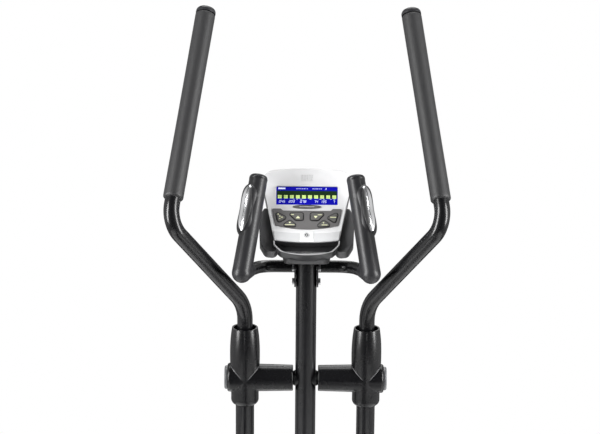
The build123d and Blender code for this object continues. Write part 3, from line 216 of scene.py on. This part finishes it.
def foam_material():
    """Closed-cell foam: fine open pores, slight mottling and a soft sheen."""
    mat = Mat("foam_charcoal", (0.009, 0.009, 0.0098), 0.5, specular=0.5)
    mat.put(mat.shader, "Sheen Weight", 0.03)
    mat.put(mat.shader, "Sheen Roughness", 0.5)
    mat.tint(mat.noise(700.0, 8.0), 0.35)
    mat.vary_rough(mat.noise(300.0), 0.1)
    mat.bump(mat.cells(2600.0), 0.00012, 0.7)
    mat.bump(mat.noise(900.0, 5.0), 0.0001, 0.5)
    return mat.material


def display(name, color, glow=0.35, rough=0.15):
    """A lit display behind a clear lens: a fine dot grain with its own light."""
    mat = Mat(name, color, rough, specular=0.25)
    mat.put(mat.shader, "Emission Strength", glow)
    dots = mat.ramp(mat.cells(2400.0), [0.85 * c for c in color], [min(1.0, 1.1 * c) for c in color])
    mat.link(dots, mat.shader.inputs["Base Color"])
    mat.link(dots, mat.shader.inputs["Emission Color"])
    mat.vary_rough(mat.noise(40.0), 0.04)
    return mat.material


materials = {
    "frame_black": powder_coat("frame_black", (0.012, 0.012, 0.0135)),
    "mast_black": painted_metal("mast_black", (0.006, 0.006, 0.0068), 0.28),
    "stabilizer_black": powder_coat("stabilizer_black", (0.012, 0.012, 0.0135)),
    "rubber_black": rubber("rubber_black", (0.02, 0.02, 0.022)),
    "wheel_grey": moulded("wheel_grey", (0.05, 0.05, 0.055), 0.5),
    "arm_black": painted_metal("arm_black", (0.004, 0.004, 0.0046), 0.24, edge=0.0),
    "foam_charcoal": foam_material(),
    "cap_black": moulded("cap_black", (0.014, 0.014, 0.016), 0.35),
    "boot_charcoal": moulded("boot_charcoal", (0.003, 0.003, 0.0035), 0.27, edge=0.0018),
    "silver_cap": moulded("silver_cap", (0.085, 0.087, 0.092), 0.3, coat=0.2, edge=0.0015),
    "steel": metal("steel", (0.56, 0.56, 0.57), 0.28),
    "bearing_steel": metal("bearing_steel", (0.66, 0.66, 0.68), 0.15),
    "bushing_nylon": moulded("bushing_nylon", (0.01, 0.01, 0.012), 0.35),
    "pedal_grey": moulded("pedal_grey", (0.03, 0.031, 0.035), 0.55, 0.00025, grain_scale=700.0, edge=0.002),
    "cover_grey": moulded("cover_grey", (0.045, 0.046, 0.051), 0.34, coat=0.12, edge=0.0015),
    "disc_silver": moulded("disc_silver", (0.3, 0.305, 0.315), 0.35, coat=0.2, edge=0.0015),
    "pulley_black": moulded("pulley_black", (0.02, 0.02, 0.02), 0.5),
    "flywheel_iron": metal("flywheel_iron", (0.22, 0.22, 0.23), 0.42),
    "belt_rubber": rubber("belt_rubber", (0.012, 0.012, 0.012)),
    "motor_case": moulded("motor_case", (0.03, 0.03, 0.03), 0.5),
    "fascia_white": moulded("fascia_white", (0.62, 0.62, 0.626), 0.45, edge=0.0025),
    "console_charcoal": moulded("console_charcoal", (0.062, 0.062, 0.064), 0.42, 0.00012, grain_scale=900.0,
                                edge=0.0035),
    "lcd_blue": display("lcd_blue", (0.005, 0.005, 0.3), 0.3),
    "keypad_grey": moulded("keypad_grey", (0.115, 0.112, 0.112), 0.4),
    "button_yellow": moulded("button_yellow", (0.095, 0.093, 0.09), 0.42, edge=0.0012),
    "jack_white": moulded("jack_white", (0.74, 0.74, 0.745), 0.4),
    "tray_grey": moulded("tray_grey", (0.025, 0.025, 0.027), 0.36, edge=0.003),
    "board_green": moulded("board_green", (0.01, 0.12, 0.05), 0.4),
    "pulse_grip_black": moulded("pulse_grip_black", (0.014, 0.014, 0.0155), 0.38, 0.0001, grain_scale=1100.0),
    "sensor_chrome": metal("sensor_chrome", (0.8, 0.805, 0.815), 0.2, edge=0.0, grain=0.000002),
    "inlet_black": moulded("inlet_black", (0.012, 0.012, 0.012), 0.4),
}

extra = {
    "display_dark": display("display_dark", (0.012, 0.03, 0.012), 0.1),
    "display_cell": display("display_cell", (0.55, 0.72, 0.22), 0.25),
    "display_mark": display("display_mark", (0.62, 0.66, 0.85), 0.35),
    "key_mark": moulded("key_mark", (0.66, 0.68, 0.42), 0.5),
    "key_shadow": moulded("key_shadow", (0.012, 0.012, 0.013), 0.5),
    "badge_rim": moulded("badge_rim", (0.045, 0.045, 0.045), 0.35),
    "badge_grey": moulded("badge_grey", (0.11, 0.108, 0.105), 0.4),
    "badge_silver": moulded("badge_silver", (0.6, 0.6, 0.6), 0.3),
    "band_grey": moulded("band_grey", (0.5, 0.505, 0.51), 0.42),
    "groove_grey": moulded("groove_grey", (0.6, 0.605, 0.61), 0.5),
    # partly the lip's own pale plastic, partly a painted highlight along its top edge
    "lip_grey_and_highlight": moulded("lip_grey_and_highlight", (0.3, 0.3, 0.305), 0.22, coat=0.3, edge=0.001),
    # painted highlight: light grey for the beads along the boots' creases
    "crease_painted_highlight": moulded("crease_painted_highlight", (0.16, 0.16, 0.165), 0.3),
    "seam_black": moulded("seam_black", (0.004, 0.004, 0.004), 0.3, coat=0.3),
    "hole_black": moulded("hole_black", (0.003, 0.003, 0.003), 0.7),
}

slot_of = {entry["node"]: entry["material_slot"] for entry in frame["record"]["subparts"]}
for node_name, node in nodes.items():
    node.data.materials.clear()
    node.data.materials.append(materials[slot_of[node_name]])


# ------------------------------------------------------------------ mesh helpers


def add_mesh(name, vertices, faces, material, body, smooth=True):
    """New piece from vertices and faces, riding on a body."""
    mesh = bpy.data.meshes.new(name)
    mesh.from_pydata([tuple(v) for v in vertices], [], faces)
    mesh.validate()
    mesh.update()
    piece = bpy.data.objects.new(name, mesh)
    scene.collection.objects.link(piece)
    mesh.materials.append(material)
    if smooth:
        mesh.polygons.foreach_set("use_smooth", [True] * len(mesh.polygons))
    tidy_normals(mesh)
    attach(piece, body)
    return piece


def tidy_normals(mesh):
    work = bmesh.new()
    work.from_mesh(mesh)
    bmesh.ops.recalc_face_normals(work, faces=work.faces)
    work.to_mesh(mesh)
    work.free()


def weld(piece):
    """Joins points that lie on each other."""
    work = bmesh.new()
    work.from_mesh(piece.data)
    bmesh.ops.remove_doubles(work, verts=work.verts, dist=1e-6)
    bmesh.ops.recalc_face_normals(work, faces=work.faces)
    work.to_mesh(piece.data)
    work.free()


def frame_about(axis):
    """Two directions square to an axis."""
    side = axis.cross(Vector((0.0, 0.0, 1.0)))
    if side.length < 0.1:
        side = axis.cross(Vector((1.0, 0.0, 0.0)))
    side.normalize()
    return side, axis.cross(side).normalized()


def lathe(name, base, axis, profile, material, body, around=64):
    """Turned piece: profile is a list of (radius, height) along the axis from the base."""
    axis = axis.normalized()
    side, up = frame_about(axis)
    vertices = []
    rings = []
    for radius, height in profile:
        centre = base + axis * height
        if radius < 1e-6:
            rings.append([len(vertices)])
            vertices.append(centre)
            continue
        rings.append(list(range(len(vertices), len(vertices) + around)))
        for step in range(around):
            turn = 2 * pi * step / around
            vertices.append(centre + (side * cos(turn) + up * sin(turn)) * radius)
    faces = []
    for low, high in zip(rings, rings[1:]):
        for step in range(around):
            after = (step + 1) % around
            if len(low) == 1:
                faces.append((low[0], high[after], high[step]))
            elif len(high) == 1:
                faces.append((low[step], low[after], high[0]))
            else:
                faces.append((low[step], low[after], high[after], high[step]))
    return add_mesh(name, vertices, faces, material, body)


def bevel(piece, width, segments=2, angle=30.0):
    """Rounds the sharp edges of a new piece."""
    modifier = piece.modifiers.new("edge_round", "BEVEL")
    modifier.width = width
    modifier.segments = segments
    modifier.limit_method = "ANGLE"
    modifier.angle_limit = radians(angle)
    modifier.harden_normals = True
    return piece


def slabs(name, outlines, low, high, material, body, edge=0.0):
    """Thin closed slabs on the console's face, one for each outline of (x, v) points in millimetres."""
    vertices = []
    faces = []
    for outline in outlines:
        start = len(vertices)
        count = len(outline)
        for depth in (low, high):
            vertices.extend(face_point(x, v, depth) for x, v in outline)
        faces.append(tuple(range(start, start + count)))
        faces.append(tuple(range(start + count, start + 2 * count)))
        for step in range(count):
            after = (step + 1) % count
            faces.append((start + step, start + after, start + count + after, start + count + step))
    piece = add_mesh(name, vertices, faces, material, body, smooth=False)
    if edge:
        bevel(piece, edge)
    return piece


def ring_slab(name, outer, inner, low, high, material, body):
    """A closed loop of rectangular section between two outlines with the same number of points."""
    count = len(outer)
    vertices = [face_point(x, v, depth) for depth in (low, high) for loop in (outer, inner) for x, v in loop]
    faces = []
    for step in range(count):
        after = (step + 1) % count
        corners = [(0, step), (0, after), (1, after), (1, step)]
        faces.append(tuple(loop * count + index for loop, index in corners))
        faces.append(tuple((2 + loop) * count + index for loop, index in corners))
        for loop in (0, 1):
            faces.append((loop * count + step, loop * count + after, (2 + loop) * count + after,
                          (2 + loop) * count + step))
    return add_mesh(name, vertices, faces, material, body, smooth=False)


def box_outline(x, v, width, height, slant=0.0):
    """Rectangle about a point, leaning over by a share of its height."""
    lean = slant * height / 2
    return [(x - width / 2 - lean, v - height / 2), (x + width / 2 - lean, v - height / 2),
            (x + width / 2 + lean, v + height / 2), (x - width / 2 + lean, v + height / 2)]


def oval_outline(x, v, width, height, steps=48):
    return [(x + width / 2 * cos(2 * pi * k / steps), v + height / 2 * sin(2 * pi * k / steps))
            for k in range(steps)]


def rounded(corners, radius, grow=0.0, steps=5):
    """Outline of a convex polygon with rounded corners, grown by an amount."""
    points = [Vector(corner) for corner in corners]
    area = sum(a.x * b.y - b.x * a.y for a, b in zip(points, points[1:] + points[:1]))
    if area < 0:
        points.reverse()
    outline = []
    for index, corner in enumerate(points):
        into = (corner - points[index - 1]).normalized()
        out = (points[(index + 1) % len(points)] - corner).normalized()
        bisector = (out - into).normalized()
        half = sqrt(max(0.0, (1 - into.dot(-out)) / 2))
        centre = corner + bisector * (radius / half)
        start = Vector((into.y, -into.x))
        turn = start.angle_signed(Vector((out.y, -out.x)))
        for step in range(steps + 1):
            angle = -turn * step / steps
            along = start.x * cos(angle) - start.y * sin(angle)
            across = start.x * sin(angle) + start.y * cos(angle)
            way = Vector((along, across))
            spot = centre + way * (radius + grow)
            outline.append((spot.x, spot.y))
    return outline


# ------------------------------------------------------------------ camera, light and floor

CAMERA_DISTANCE = 4.5
CAMERA_ELEVATION = radians(13.5)
CAMERA_PITCH = radians(9.27)
CAMERA_YAW = radians(-0.182)
CAMERA_ROLL = radians(0.45)
CAMERA_LENS = 130.4

eye = PIVOT + Vector((0.0, -cos(CAMERA_ELEVATION), sin(CAMERA_ELEVATION))) * CAMERA_DISTANCE
ahead = Vector((sin(CAMERA_YAW) * cos(CAMERA_PITCH), cos(CAMERA_YAW) * cos(CAMERA_PITCH), -sin(CAMERA_PITCH)))
level_right = ahead.cross(Vector((0.0, 0.0, 1.0))).normalized()
level_up = level_right.cross(ahead)
right = level_right * cos(CAMERA_ROLL) + level_up * sin(CAMERA_ROLL)
up = level_up * cos(CAMERA_ROLL) - level_right * sin(CAMERA_ROLL)

camera_data = bpy.data.cameras.new("camera")
camera_data.lens = CAMERA_LENS
camera_data.sensor_width = 36.0
camera = bpy.data.objects.new("camera", camera_data)
scene.collection.objects.link(camera)
camera.matrix_world = Matrix((
    (right.x, up.x, -ahead.x, eye.x),
    (right.y, up.y, -ahead.y, eye.y),
    (right.z, up.z, -ahead.z, eye.z),
    (0.0, 0.0, 0.0, 1.0),
))
scene.camera = camera

FLOOR_RADIUS = 1.3
FLOOR_GLOW = 0.3
FLOOR_STEPS = 128
floor_material = Mat("floor_pale", (0.93, 0.93, 0.93), 0.8, specular=0.2)
floor_material.tint(floor_material.noise(2.0), 0.01)
floor_material.put(floor_material.shader, "Emission Color", (1.0, 1.0, 1.0, 1.0))
floor_material.put(floor_material.shader, "Emission Strength", FLOOR_GLOW)
floor_mesh = bpy.data.meshes.new("floor")
floor_turns = [2 * pi * step / FLOOR_STEPS for step in range(FLOOR_STEPS)]
floor_ring = [(FLOOR_RADIUS * cos(turn), FLOOR_RADIUS * sin(turn), 0.0) for turn in floor_turns]
floor_mesh.from_pydata(floor_ring, [], [tuple(range(FLOOR_STEPS))])
floor_mesh.materials.append(floor_material.material)
floor = bpy.data.objects.new("floor", floor_mesh)
scene.collection.objects.link(floor)

# studio: white to the camera, dim in front and behind, bright at the sides, so that tubes get lit edges
SKY_DIM = 0.05
SKY_SIDES = 1.0
world = bpy.data.worlds.new("studio")
world.use_nodes = True
scene.world = world
sky = world.node_tree
sky_back = sky.nodes["Background"]
sky_back.inputs["Color"].default_value = (1.0, 1.0, 1.0, 1.0)
way = sky.nodes.new("ShaderNodeTexCoord")
split_way = sky.nodes.new("ShaderNodeSeparateXYZ")
sky.links.new(way.outputs["Generated"], split_way.inputs["Vector"])
side_share = sky.nodes.new("ShaderNodeMath")
side_share.operation = "POWER"
sideways = sky.nodes.new("ShaderNodeMath")
sideways.operation = "ABSOLUTE"
sky.links.new(split_way.outputs["X"], sideways.inputs[0])
sky.links.new(sideways.outputs[0], side_share.inputs[0])
side_share.inputs[1].default_value = 2.5
glow = sky.nodes.new("ShaderNodeMapRange")
glow.inputs["To Min"].default_value = SKY_DIM
glow.inputs["To Max"].default_value = SKY_SIDES
sky.links.new(side_share.outputs[0], glow.inputs["Value"])
rays = sky.nodes.new("ShaderNodeLightPath")
brightness = sky.nodes.new("ShaderNodeMix")
brightness.inputs["B"].default_value = 1.0
sky.links.new(rays.outputs["Is Camera Ray"], brightness.inputs["Factor"])
sky.links.new(glow.outputs["Result"], brightness.inputs["A"])
sky.links.new(brightness.outputs["Result"], sky_back.inputs["Strength"])


def softbox(name, place, aim, size, power):
    """A rectangular lamp aimed at a point."""
    light_data = bpy.data.lights.new(name, "AREA")
    light_data.shape = "RECTANGLE"
    light_data.size = size[0]
    light_data.size_y = size[1]
    light_data.energy = power
    light = bpy.data.objects.new(name, light_data)
    scene.collection.objects.link(light)
    light.location = place
    light.rotation_euler = (Vector(aim) - Vector(place)).to_track_quat("-Z", "Y").to_euler()


softbox("left_strip", (-2.4, -0.9, 1.7), (0, 0.4, 1.2), (0.7, 2.6), 170)
softbox("right_strip", (2.4, -0.6, 1.7), (0, 0.4, 1.2), (0.7, 2.6), 140)
softbox("top", (0.0, 1.3, 3.8), (0, 0.4, 1.0), (2.4, 1.4), 55)
softbox("back", (0.5, 3.2, 3.0), (0, 0.3, 1.0), (2.0, 1.2), 30)

# ------------------------------------------------------------------ foam sleeves on the handles

FOAM_WALL_R = UPPER_R + 0.0003
FOAM_END = 0.005
FOAM_RINGS = 90
FOAM_HAND = 0.0004       # hands have pressed the middle of the sleeve a little
LIP_STEPS = 6

foam_way = (HANDLE_TOP - ELBOW_HIGH).normalized()
foam_length = (HANDLE_TOP - ELBOW_HIGH).length - FOAM_START - GRIP_CAP


def foam_profile():
    """Closed section of a foam sleeve: soft lips at both ends and a slight hollow where hands hold."""
    rings = [(FOAM_WALL_R, 0.0)]
    for step in range(LIP_STEPS + 1):
        angle = pi / 2 * step / LIP_STEPS
        rings.append((FOAM_R - FOAM_END * (1 - sin(angle)), FOAM_END * (1 - cos(angle))))
    for step in range(1, FOAM_RINGS):
        share = step / FOAM_RINGS
        along = FOAM_END + (foam_length - 2 * FOAM_END) * share
        held = FOAM_HAND * sin(pi * share) ** 2
        rings.append((FOAM_R - held, along))
    for step in range(LIP_STEPS + 1):
        angle = pi / 2 * step / LIP_STEPS
        rings.append((FOAM_R - FOAM_END * (1 - cos(angle)), foam_length - FOAM_END * (1 - sin(angle))))
    rings.append((FOAM_WALL_R, foam_length))
    rings.append((FOAM_WALL_R, foam_length / 2))
    rings.append((FOAM_WALL_R, 0.0))
    return rings


SIDES = ((-1, "left"), (1, "right"))


def mirrored(point, side):
    """A point on the user's right, or the same point on the left where side is -1."""
    return Vector((point.x * side, point.y, point.z))


for side, name in SIDES:
    low = PIVOT + mirrored(ELBOW_HIGH + foam_way * FOAM_START, side)
    sleeve = lathe(f"foam_sleeve_{name}", low, mirrored(foam_way, side), foam_profile(),
                   materials["foam_charcoal"], f"handle_{name}", around=96)
    weld(sleeve)
    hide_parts(f"foam_grip_{name}")

# ------------------------------------------------------------------ console

LENS = -1.0              # front of the display plate, below the face
KEYS = 1.6               # front of the keypad
KEY_TOP = 2.8            # front of the buttons
FILM = 0.12              # thickness of printed and inlaid marks

SEGMENTS = {
    "0": "abcdef", "1": "bc", "2": "abged", "3": "abgcd", "4": "fgbc",
    "5": "afgcd", "6": "afgedc", "7": "abc", "8": "abcdefg", "9": "abcdfg",
}


def digit_bars(symbol, x, v, width=2.6, height=5.0, stroke=0.75):
    """Bars of a seven-segment figure that leans a little."""
    half = height / 2
    places = {
        "a": (0, half, 1), "d": (0, -half, 1), "g": (0, 0, 1),
        "b": (width / 2, half / 2, 0), "c": (width / 2, -half / 2, 0),
        "e": (-width / 2, -half / 2, 0), "f": (-width / 2, half / 2, 0),
    }
    bars = []
    for segment in SEGMENTS[symbol]:
        across, rise, level = places[segment]
        lean = rise * 0.2
        if level:
            bars.append(box_outline(x + across + lean, v + rise, width - 0.3, stroke, 0.2))
        else:
            bars.append(box_outline(x + across + lean, v + rise, stroke, half - 0.35, 0.2))
    return bars


def figure_bars(text, x, v, pitch=4.3):
    bars = []
    for index, symbol in enumerate(text):
        bars.extend(digit_bars(symbol, x + index * pitch, v))
    return bars


BAND_V = 24.8            # middle of the dark band across the display
BAND_SIZE = (122.5, 17.6)
BAND_FILM = 0.06
slabs("display_band", [box_outline(0, BAND_V, *BAND_SIZE)], LENS, LENS + BAND_FILM, extra["display_dark"],
      "frame")

CELL = 3.7
CELL_GAP = 0.35
CELL_PITCH = 12.35
CELL_V = 19.4
CELL_COLUMNS = 10
cells = []
for column in range(CELL_COLUMNS):
    for across in (-1, 1):
        for rise in (-1, 1):
            x = (column - (CELL_COLUMNS - 1) / 2) * CELL_PITCH + across * (CELL + CELL_GAP) / 2
            cells.append(box_outline(x, CELL_V + rise * (CELL + CELL_GAP) / 2, CELL, CELL))
slabs("display_cells", cells, LENS, LENS + FILM, extra["display_cell"], "frame")

FIGURES_V = 8.6          # the large figures
LABELS_V = 14.0          # small bars above them
HEADING_V = 38.4         # small bars along the top
figures = []
for text, x in (("045", -55.0), ("203", -35.5), ("078", -12.0), ("74", 16.5), ("135", 29.5), ("7", 55.0)):
    figures.extend(figure_bars(text, x, FIGURES_V))
figures.append(box_outline(-51.5, 39.0, 14.5, 3.6))
for x, width in ((-20.5, 3.0), (-16.5, 2.6), (-13.0, 3.0), (-9.0, 2.6), (-5.0, 3.4), (0.5, 2.2),
                 (12.5, 3.2), (16.5, 2.8), (20.5, 3.4), (25.0, 2.8), (29.0, 3.0)):
    figures.append(box_outline(x, HEADING_V, width, 1.2, 0.2))
figures.extend(digit_bars("3", 38.5, 38.6, 2.2, 3.6, 0.7))
for x in (-27.0, -20.0, -12.0, 7.0, 27.5, 34.5, 49.0, 56.0):
    figures.append(box_outline(x, LABELS_V, 3.6, 0.6))
slabs("display_marks", figures, LENS, LENS + FILM, extra["display_mark"], "frame")

# badge: a dark rim around a plain grey oval, with one plain bar on it and no mark
BADGE_V = -4.8
BADGE_SIZE = (58.0, 9.0)
BADGE_FIELD = (54.6, 6.6)
BADGE_BAR = (30.0, 0.9)
BADGE_FRONT = 1.2        # front of the badge's own plate
badge_field = oval_outline(0, BADGE_V, *BADGE_FIELD)
ring_slab("badge_rim", oval_outline(0, BADGE_V, *BADGE_SIZE), badge_field, BADGE_FRONT, BADGE_FRONT + 0.5,
          extra["badge_rim"], "frame")
slabs("badge_field", [badge_field], BADGE_FRONT, BADGE_FRONT + 0.15, extra["badge_grey"],
      "frame")
slabs("badge_bar", [box_outline(0, BADGE_V, *BADGE_BAR)], BADGE_FRONT + 0.15, BADGE_FRONT + 0.4,
      extra["badge_silver"], "frame")

# painted shadow: dark rings around the buttons, for the narrow gaps and the shade that falls beside them
BUTTON_CORNERS = {
    "outer": ((-63.5, -17.5), (-41.0, -30.5), (-57.5, -41.5)),
    "arrow": ((-37.0, -20.0), (-8.0, -20.0), (-8.0, -36.0), (-22.5, -36.0)),
    "lower": ((-50.5, -49.5), (-18.0, -51.5), (-34.0, -37.0)),
}
KEY_CORNER = 3.0
KEY_SHADOW_OUT = 2.3       # how far the painted shadow reaches past the button's corner circles
KEY_SHADOW_IN = 0.42
for kind, corners in BUTTON_CORNERS.items():
    for side, name in ((1, "left"), (-1, "right")):
        points = [(side * x, v) for x, v in corners]
        ring_slab(f"key_shadow_line_{kind}_{name}", rounded(points, KEY_CORNER, KEY_SHADOW_OUT),
                  rounded(points, KEY_CORNER, KEY_SHADOW_IN), KEYS, KEYS + FILM, extra["key_shadow"],
                  "frame")

key_marks = {
    "button_up": [[(-22.5, -32.5), (-13.5, -32.5), (-18.0, -27.0)], box_outline(-29.0, -24.0, 5.5, 1.6)],
    "button_down": [[(14.0, -26.8), (18.0, -32.3), (22.0, -26.8)], box_outline(26.5, -24.0, 9.0, 1.5)],
    "button_outer_left": [box_outline(-58.2, -23.2, 3.4, 1.8, 0.4), oval_outline(-54.8, -27.6, 3.2, 3.0, 16),
                          box_outline(-50.6, -30.2, 4.2, 2.2, -0.3), box_outline(-55.0, -33.4, 3.0, 1.4)],
    "button_outer_right": [box_outline(53.6, -29.6, 12.0, 1.9)],
    "button_lower_left": [oval_outline(-34.4, -42.4, 3.6, 3.2, 16), box_outline(-34.4, -47.4, 19.0, 1.6)],
    "button_lower_right": [oval_outline(34.0, -42.4, 3.0, 2.4, 16), box_outline(36.0, -47.4, 12.0, 1.6)],
}
for button, outlines in key_marks.items():
    slabs(f"mark_{button}", outlines, KEY_TOP, KEY_TOP + FILM, extra["key_mark"], button)


def arc_points(half, end, sag, steps=28):
    """Points of a shallow arc from one side of the face to the other, lowest in the middle."""
    points = []
    for step in range(steps + 1):
        share = 2 * step / steps - 1
        points.append((half * share, end - sag * (1 - share * share)))
    return points


# lower band of the fascia, with its crease, and the pale tab around the jack
JACK_V = -70.5
upper_edge = arc_points(67.2, -60.6, 5.0)
lower_edge = arc_points(65.2, -80.6, 5.2)
bevel(slabs("fascia_band", [lower_edge + upper_edge[::-1]], -0.5, 1.0, extra["band_grey"],
            "frame"), 0.0004)
bevel(slabs("jack_tab", [[(-14.5, -85.6), (14.5, -85.6), (12.0, -67.0), (-12.0, -67.0)]], 0.5, 1.7,
            materials["jack_white"], "frame"), 0.0005)
lathe("jack_hole", face_point(0, JACK_V, 1.9), FACE_N,
      [(0.0019, 0.0), (0.0062, 0.0), (0.0064, 0.0007), (0.0058, 0.0013), (0.0040, 0.0009), (0.0036, 0.0003),
       (0.0019, 0.0003), (0.0019, 0.0)], extra["band_grey"], "frame", around=48)
lathe("jack_shadow", face_point(0, JACK_V, 2.0), FACE_N,
      [(0.0018, 0.0), (0.0034, 0.0), (0.0034, 0.0004), (0.0018, 0.0004), (0.0018, 0.0)],
      extra["hole_black"], "frame", around=48)

# moulded lip along the front of the tray; its pale grey is partly the lip's own lighter plastic and partly a
# painted highlight along its top edge
LIP_OUTER = ((68.0, -84.0), (67.0, -94.0), (53.0, -109.0))
LIP_BOTTOM = -117.0
LIP_WALL = 3.6


def lip_side(inset, corner_steps=6):
    """Half of the lip's line, from its end down to the start of the lower arc, with soft corners."""
    end, knee, foot = [Vector((x - inset * 0.95, v + inset * 0.3)) for x, v in LIP_OUTER]
    points = [end]
    after = foot + Vector((-6.0, -1.4))
    for before, corner, beyond in ((end, knee, foot), (knee, foot, after)):
        into = (before - corner).normalized() * min(5.0, (before - corner).length / 2.5)
        out = (beyond - corner).normalized() * 5.0
        for step in range(corner_steps + 1):
            share = step / corner_steps
            points.append((corner + into) * (1 - share) ** 2 + corner * 2 * share * (1 - share)
                          + (corner + out) * share ** 2)
    return points


def lip_line(inset):
    """Whole line of the lip, from right to left."""
    right = lip_side(inset)
    low = right[-1]
    middle = []
    for step in range(1, 24):
        share = 1 - 2 * step / 24
        rise = (low.y - LIP_BOTTOM - inset) * share * share
        middle.append(Vector((low.x * share, LIP_BOTTOM + inset + rise)))
    left = [Vector((-point.x, point.y)) for point in reversed(right)]
    return [(point.x, point.y) for point in right + middle + left]


bevel(slabs("tray_lip", [lip_line(0.35) + lip_line(LIP_WALL - 0.25)[::-1]], 0.9, 3.2, extra["lip_grey_and_highlight"],
            "frame"), 0.0009, segments=3)
bevel(slabs("tray_rim", [arc_points(64.0, -84.2, 5.0) + arc_points(65.5, -81.4, 5.0)[::-1]], -3.8, 0.4,
            materials["tray_grey"], "frame"), 0.0005)

# speaker slots get liners a little darker than the face
SLOT_V = 63.0
SLOT_PITCH = 5.0
SLOT_SIZE = (1.94, 13.0)
slots = [box_outline((column - 2) * SLOT_PITCH, SLOT_V, *SLOT_SIZE) for column in range(5)]
slabs("speaker_liners", slots, -3.6, -0.4, extra["groove_grey"], "frame")

# ------------------------------------------------------------------ boots

# A fine raised bead runs along the edges where the upright half of a boot meets its level half; its light
# grey is a painted highlight along these creases.
BOOT_MIDDLE = Vector((0.125, 0.0, 0.0))
BOOT_LEAN = radians(6.0)
BOOT_UP = Vector((0.0, -sin(BOOT_LEAN), cos(BOOT_LEAN)))
BOOT_FRONT = Vector((0.0, -cos(BOOT_LEAN), -sin(BOOT_LEAN)))
LEVEL_R = 0.02899        # level half, at the middle of the boot
LEVEL_FLARE = 0.0226     # and its change along x
UPRIGHT_R = 0.0293       # upright half, at the pivot's height
UPRIGHT_FLARE = 0.032    # and its change upwards
CREASE_R = 0.0007
CREASE_SINK = 0.0002
CREASE_STEPS = 24
CREASE_START = 8.0       # degrees up from the level half's front
CREASE_SWEEP = 74.0


def crease_line(way, face):
    """Points where the two halves meet, from the middle of the T up to its shoulder."""
    points = []
    for step in range(CREASE_STEPS + 1):
        turn = radians(CREASE_START + CREASE_SWEEP * step / CREASE_STEPS)
        x = 0.0
        for _ in range(4):
            level = LEVEL_R + LEVEL_FLARE * x
            rise = level * sin(turn)
            out = level * cos(turn)
            upright = UPRIGHT_R + UPRIGHT_FLARE * rise
            x = way * sqrt(max(0.0, upright * upright - out * out))
        sunk = 1.0 - CREASE_SINK / level
        spot = BOOT_MIDDLE + Vector((x, 0.0, 0.0))
        points.append(spot + BOOT_UP * (rise * sunk) + BOOT_FRONT * (face * out * sunk))
    return points


def bead(name, line, radius, material, body, around=10):
    """Round bead along a line, tapering to a point at both ends."""
    vertices = []
    faces = []
    for index, spot in enumerate(line):
        along = (line[min(index + 1, len(line) - 1)] - line[max(index - 1, 0)]).normalized()
        side, up_way = frame_about(along)
        thick = radius * max(0.05, sin(pi * index / (len(line) - 1)) ** 0.4)
        for step in range(around):
            turn = 2 * pi * step / around
            vertices.append(spot + (side * cos(turn) + up_way * sin(turn)) * thick)
    for index in range(len(line) - 1):
        for step in range(around):
            after = (step + 1) % around
            low = index * around
            faces.append((low + step, low + after, low + around + after, low + around + step))
    faces.append(tuple(range(around)))
    faces.append(tuple(range(len(vertices) - around, len(vertices))))
    return add_mesh(name, vertices, faces, material, body)


# light grey beads that paint the highlight along each boot's creases
for side, name in SIDES:
    for way, half in ((-1, "inner"), (1, "outer")):
        for face, where in ((1, "front"), (-1, "back")):
            line = [PIVOT + mirrored(point, side) for point in crease_line(way, face)]
            bead(f"boot_crease_{half}_{where}_{name}", line, CREASE_R, extra["crease_painted_highlight"],
                 f"handle_{name}")

# ------------------------------------------------------------------ pulse grips

CAP_SHELL = 0.0003       # the cap stands this far off the grip
CAP_SKIRT = 0.003        # straight part of the cap
CAP_STEPS = 12
grip_way = (GRIP_HIGH - GRIP_LOW).normalized()
for side, name in SIDES:
    top = PIVOT + mirrored(GRIP_HIGH, side)
    way = mirrored(grip_way, side)
    cap_r = GRIP_HIGH_R + CAP_SHELL
    profile = [(GRIP_HIGH_R - 0.001, -0.0012), (cap_r, -0.0006), (cap_r, CAP_SKIRT)]
    for step in range(1, CAP_STEPS + 1):
        angle = pi / 2 * step / CAP_STEPS
        height = CAP_SKIRT + (GRIP_DOME - CAP_SKIRT + CAP_SHELL) * sin(angle)
        profile.append((cap_r * cos(angle), height))
    profile[-1] = (0.0, GRIP_DOME + CAP_SHELL)
    lathe(f"pulse_cap_{name}", top, way, profile, materials["cap_black"], "frame")
    lathe(f"pulse_seam_{name}", top, way,
          [(GRIP_HIGH_R - 0.001, -0.0022), (GRIP_HIGH_R + 0.0002, -0.002), (GRIP_HIGH_R + 0.0002, -0.0007),
           (GRIP_HIGH_R - 0.001, -0.0005), (GRIP_HIGH_R - 0.001, -0.0022)],
          extra["seam_black"], "frame")

scene.view_settings.view_transform = "Standard"
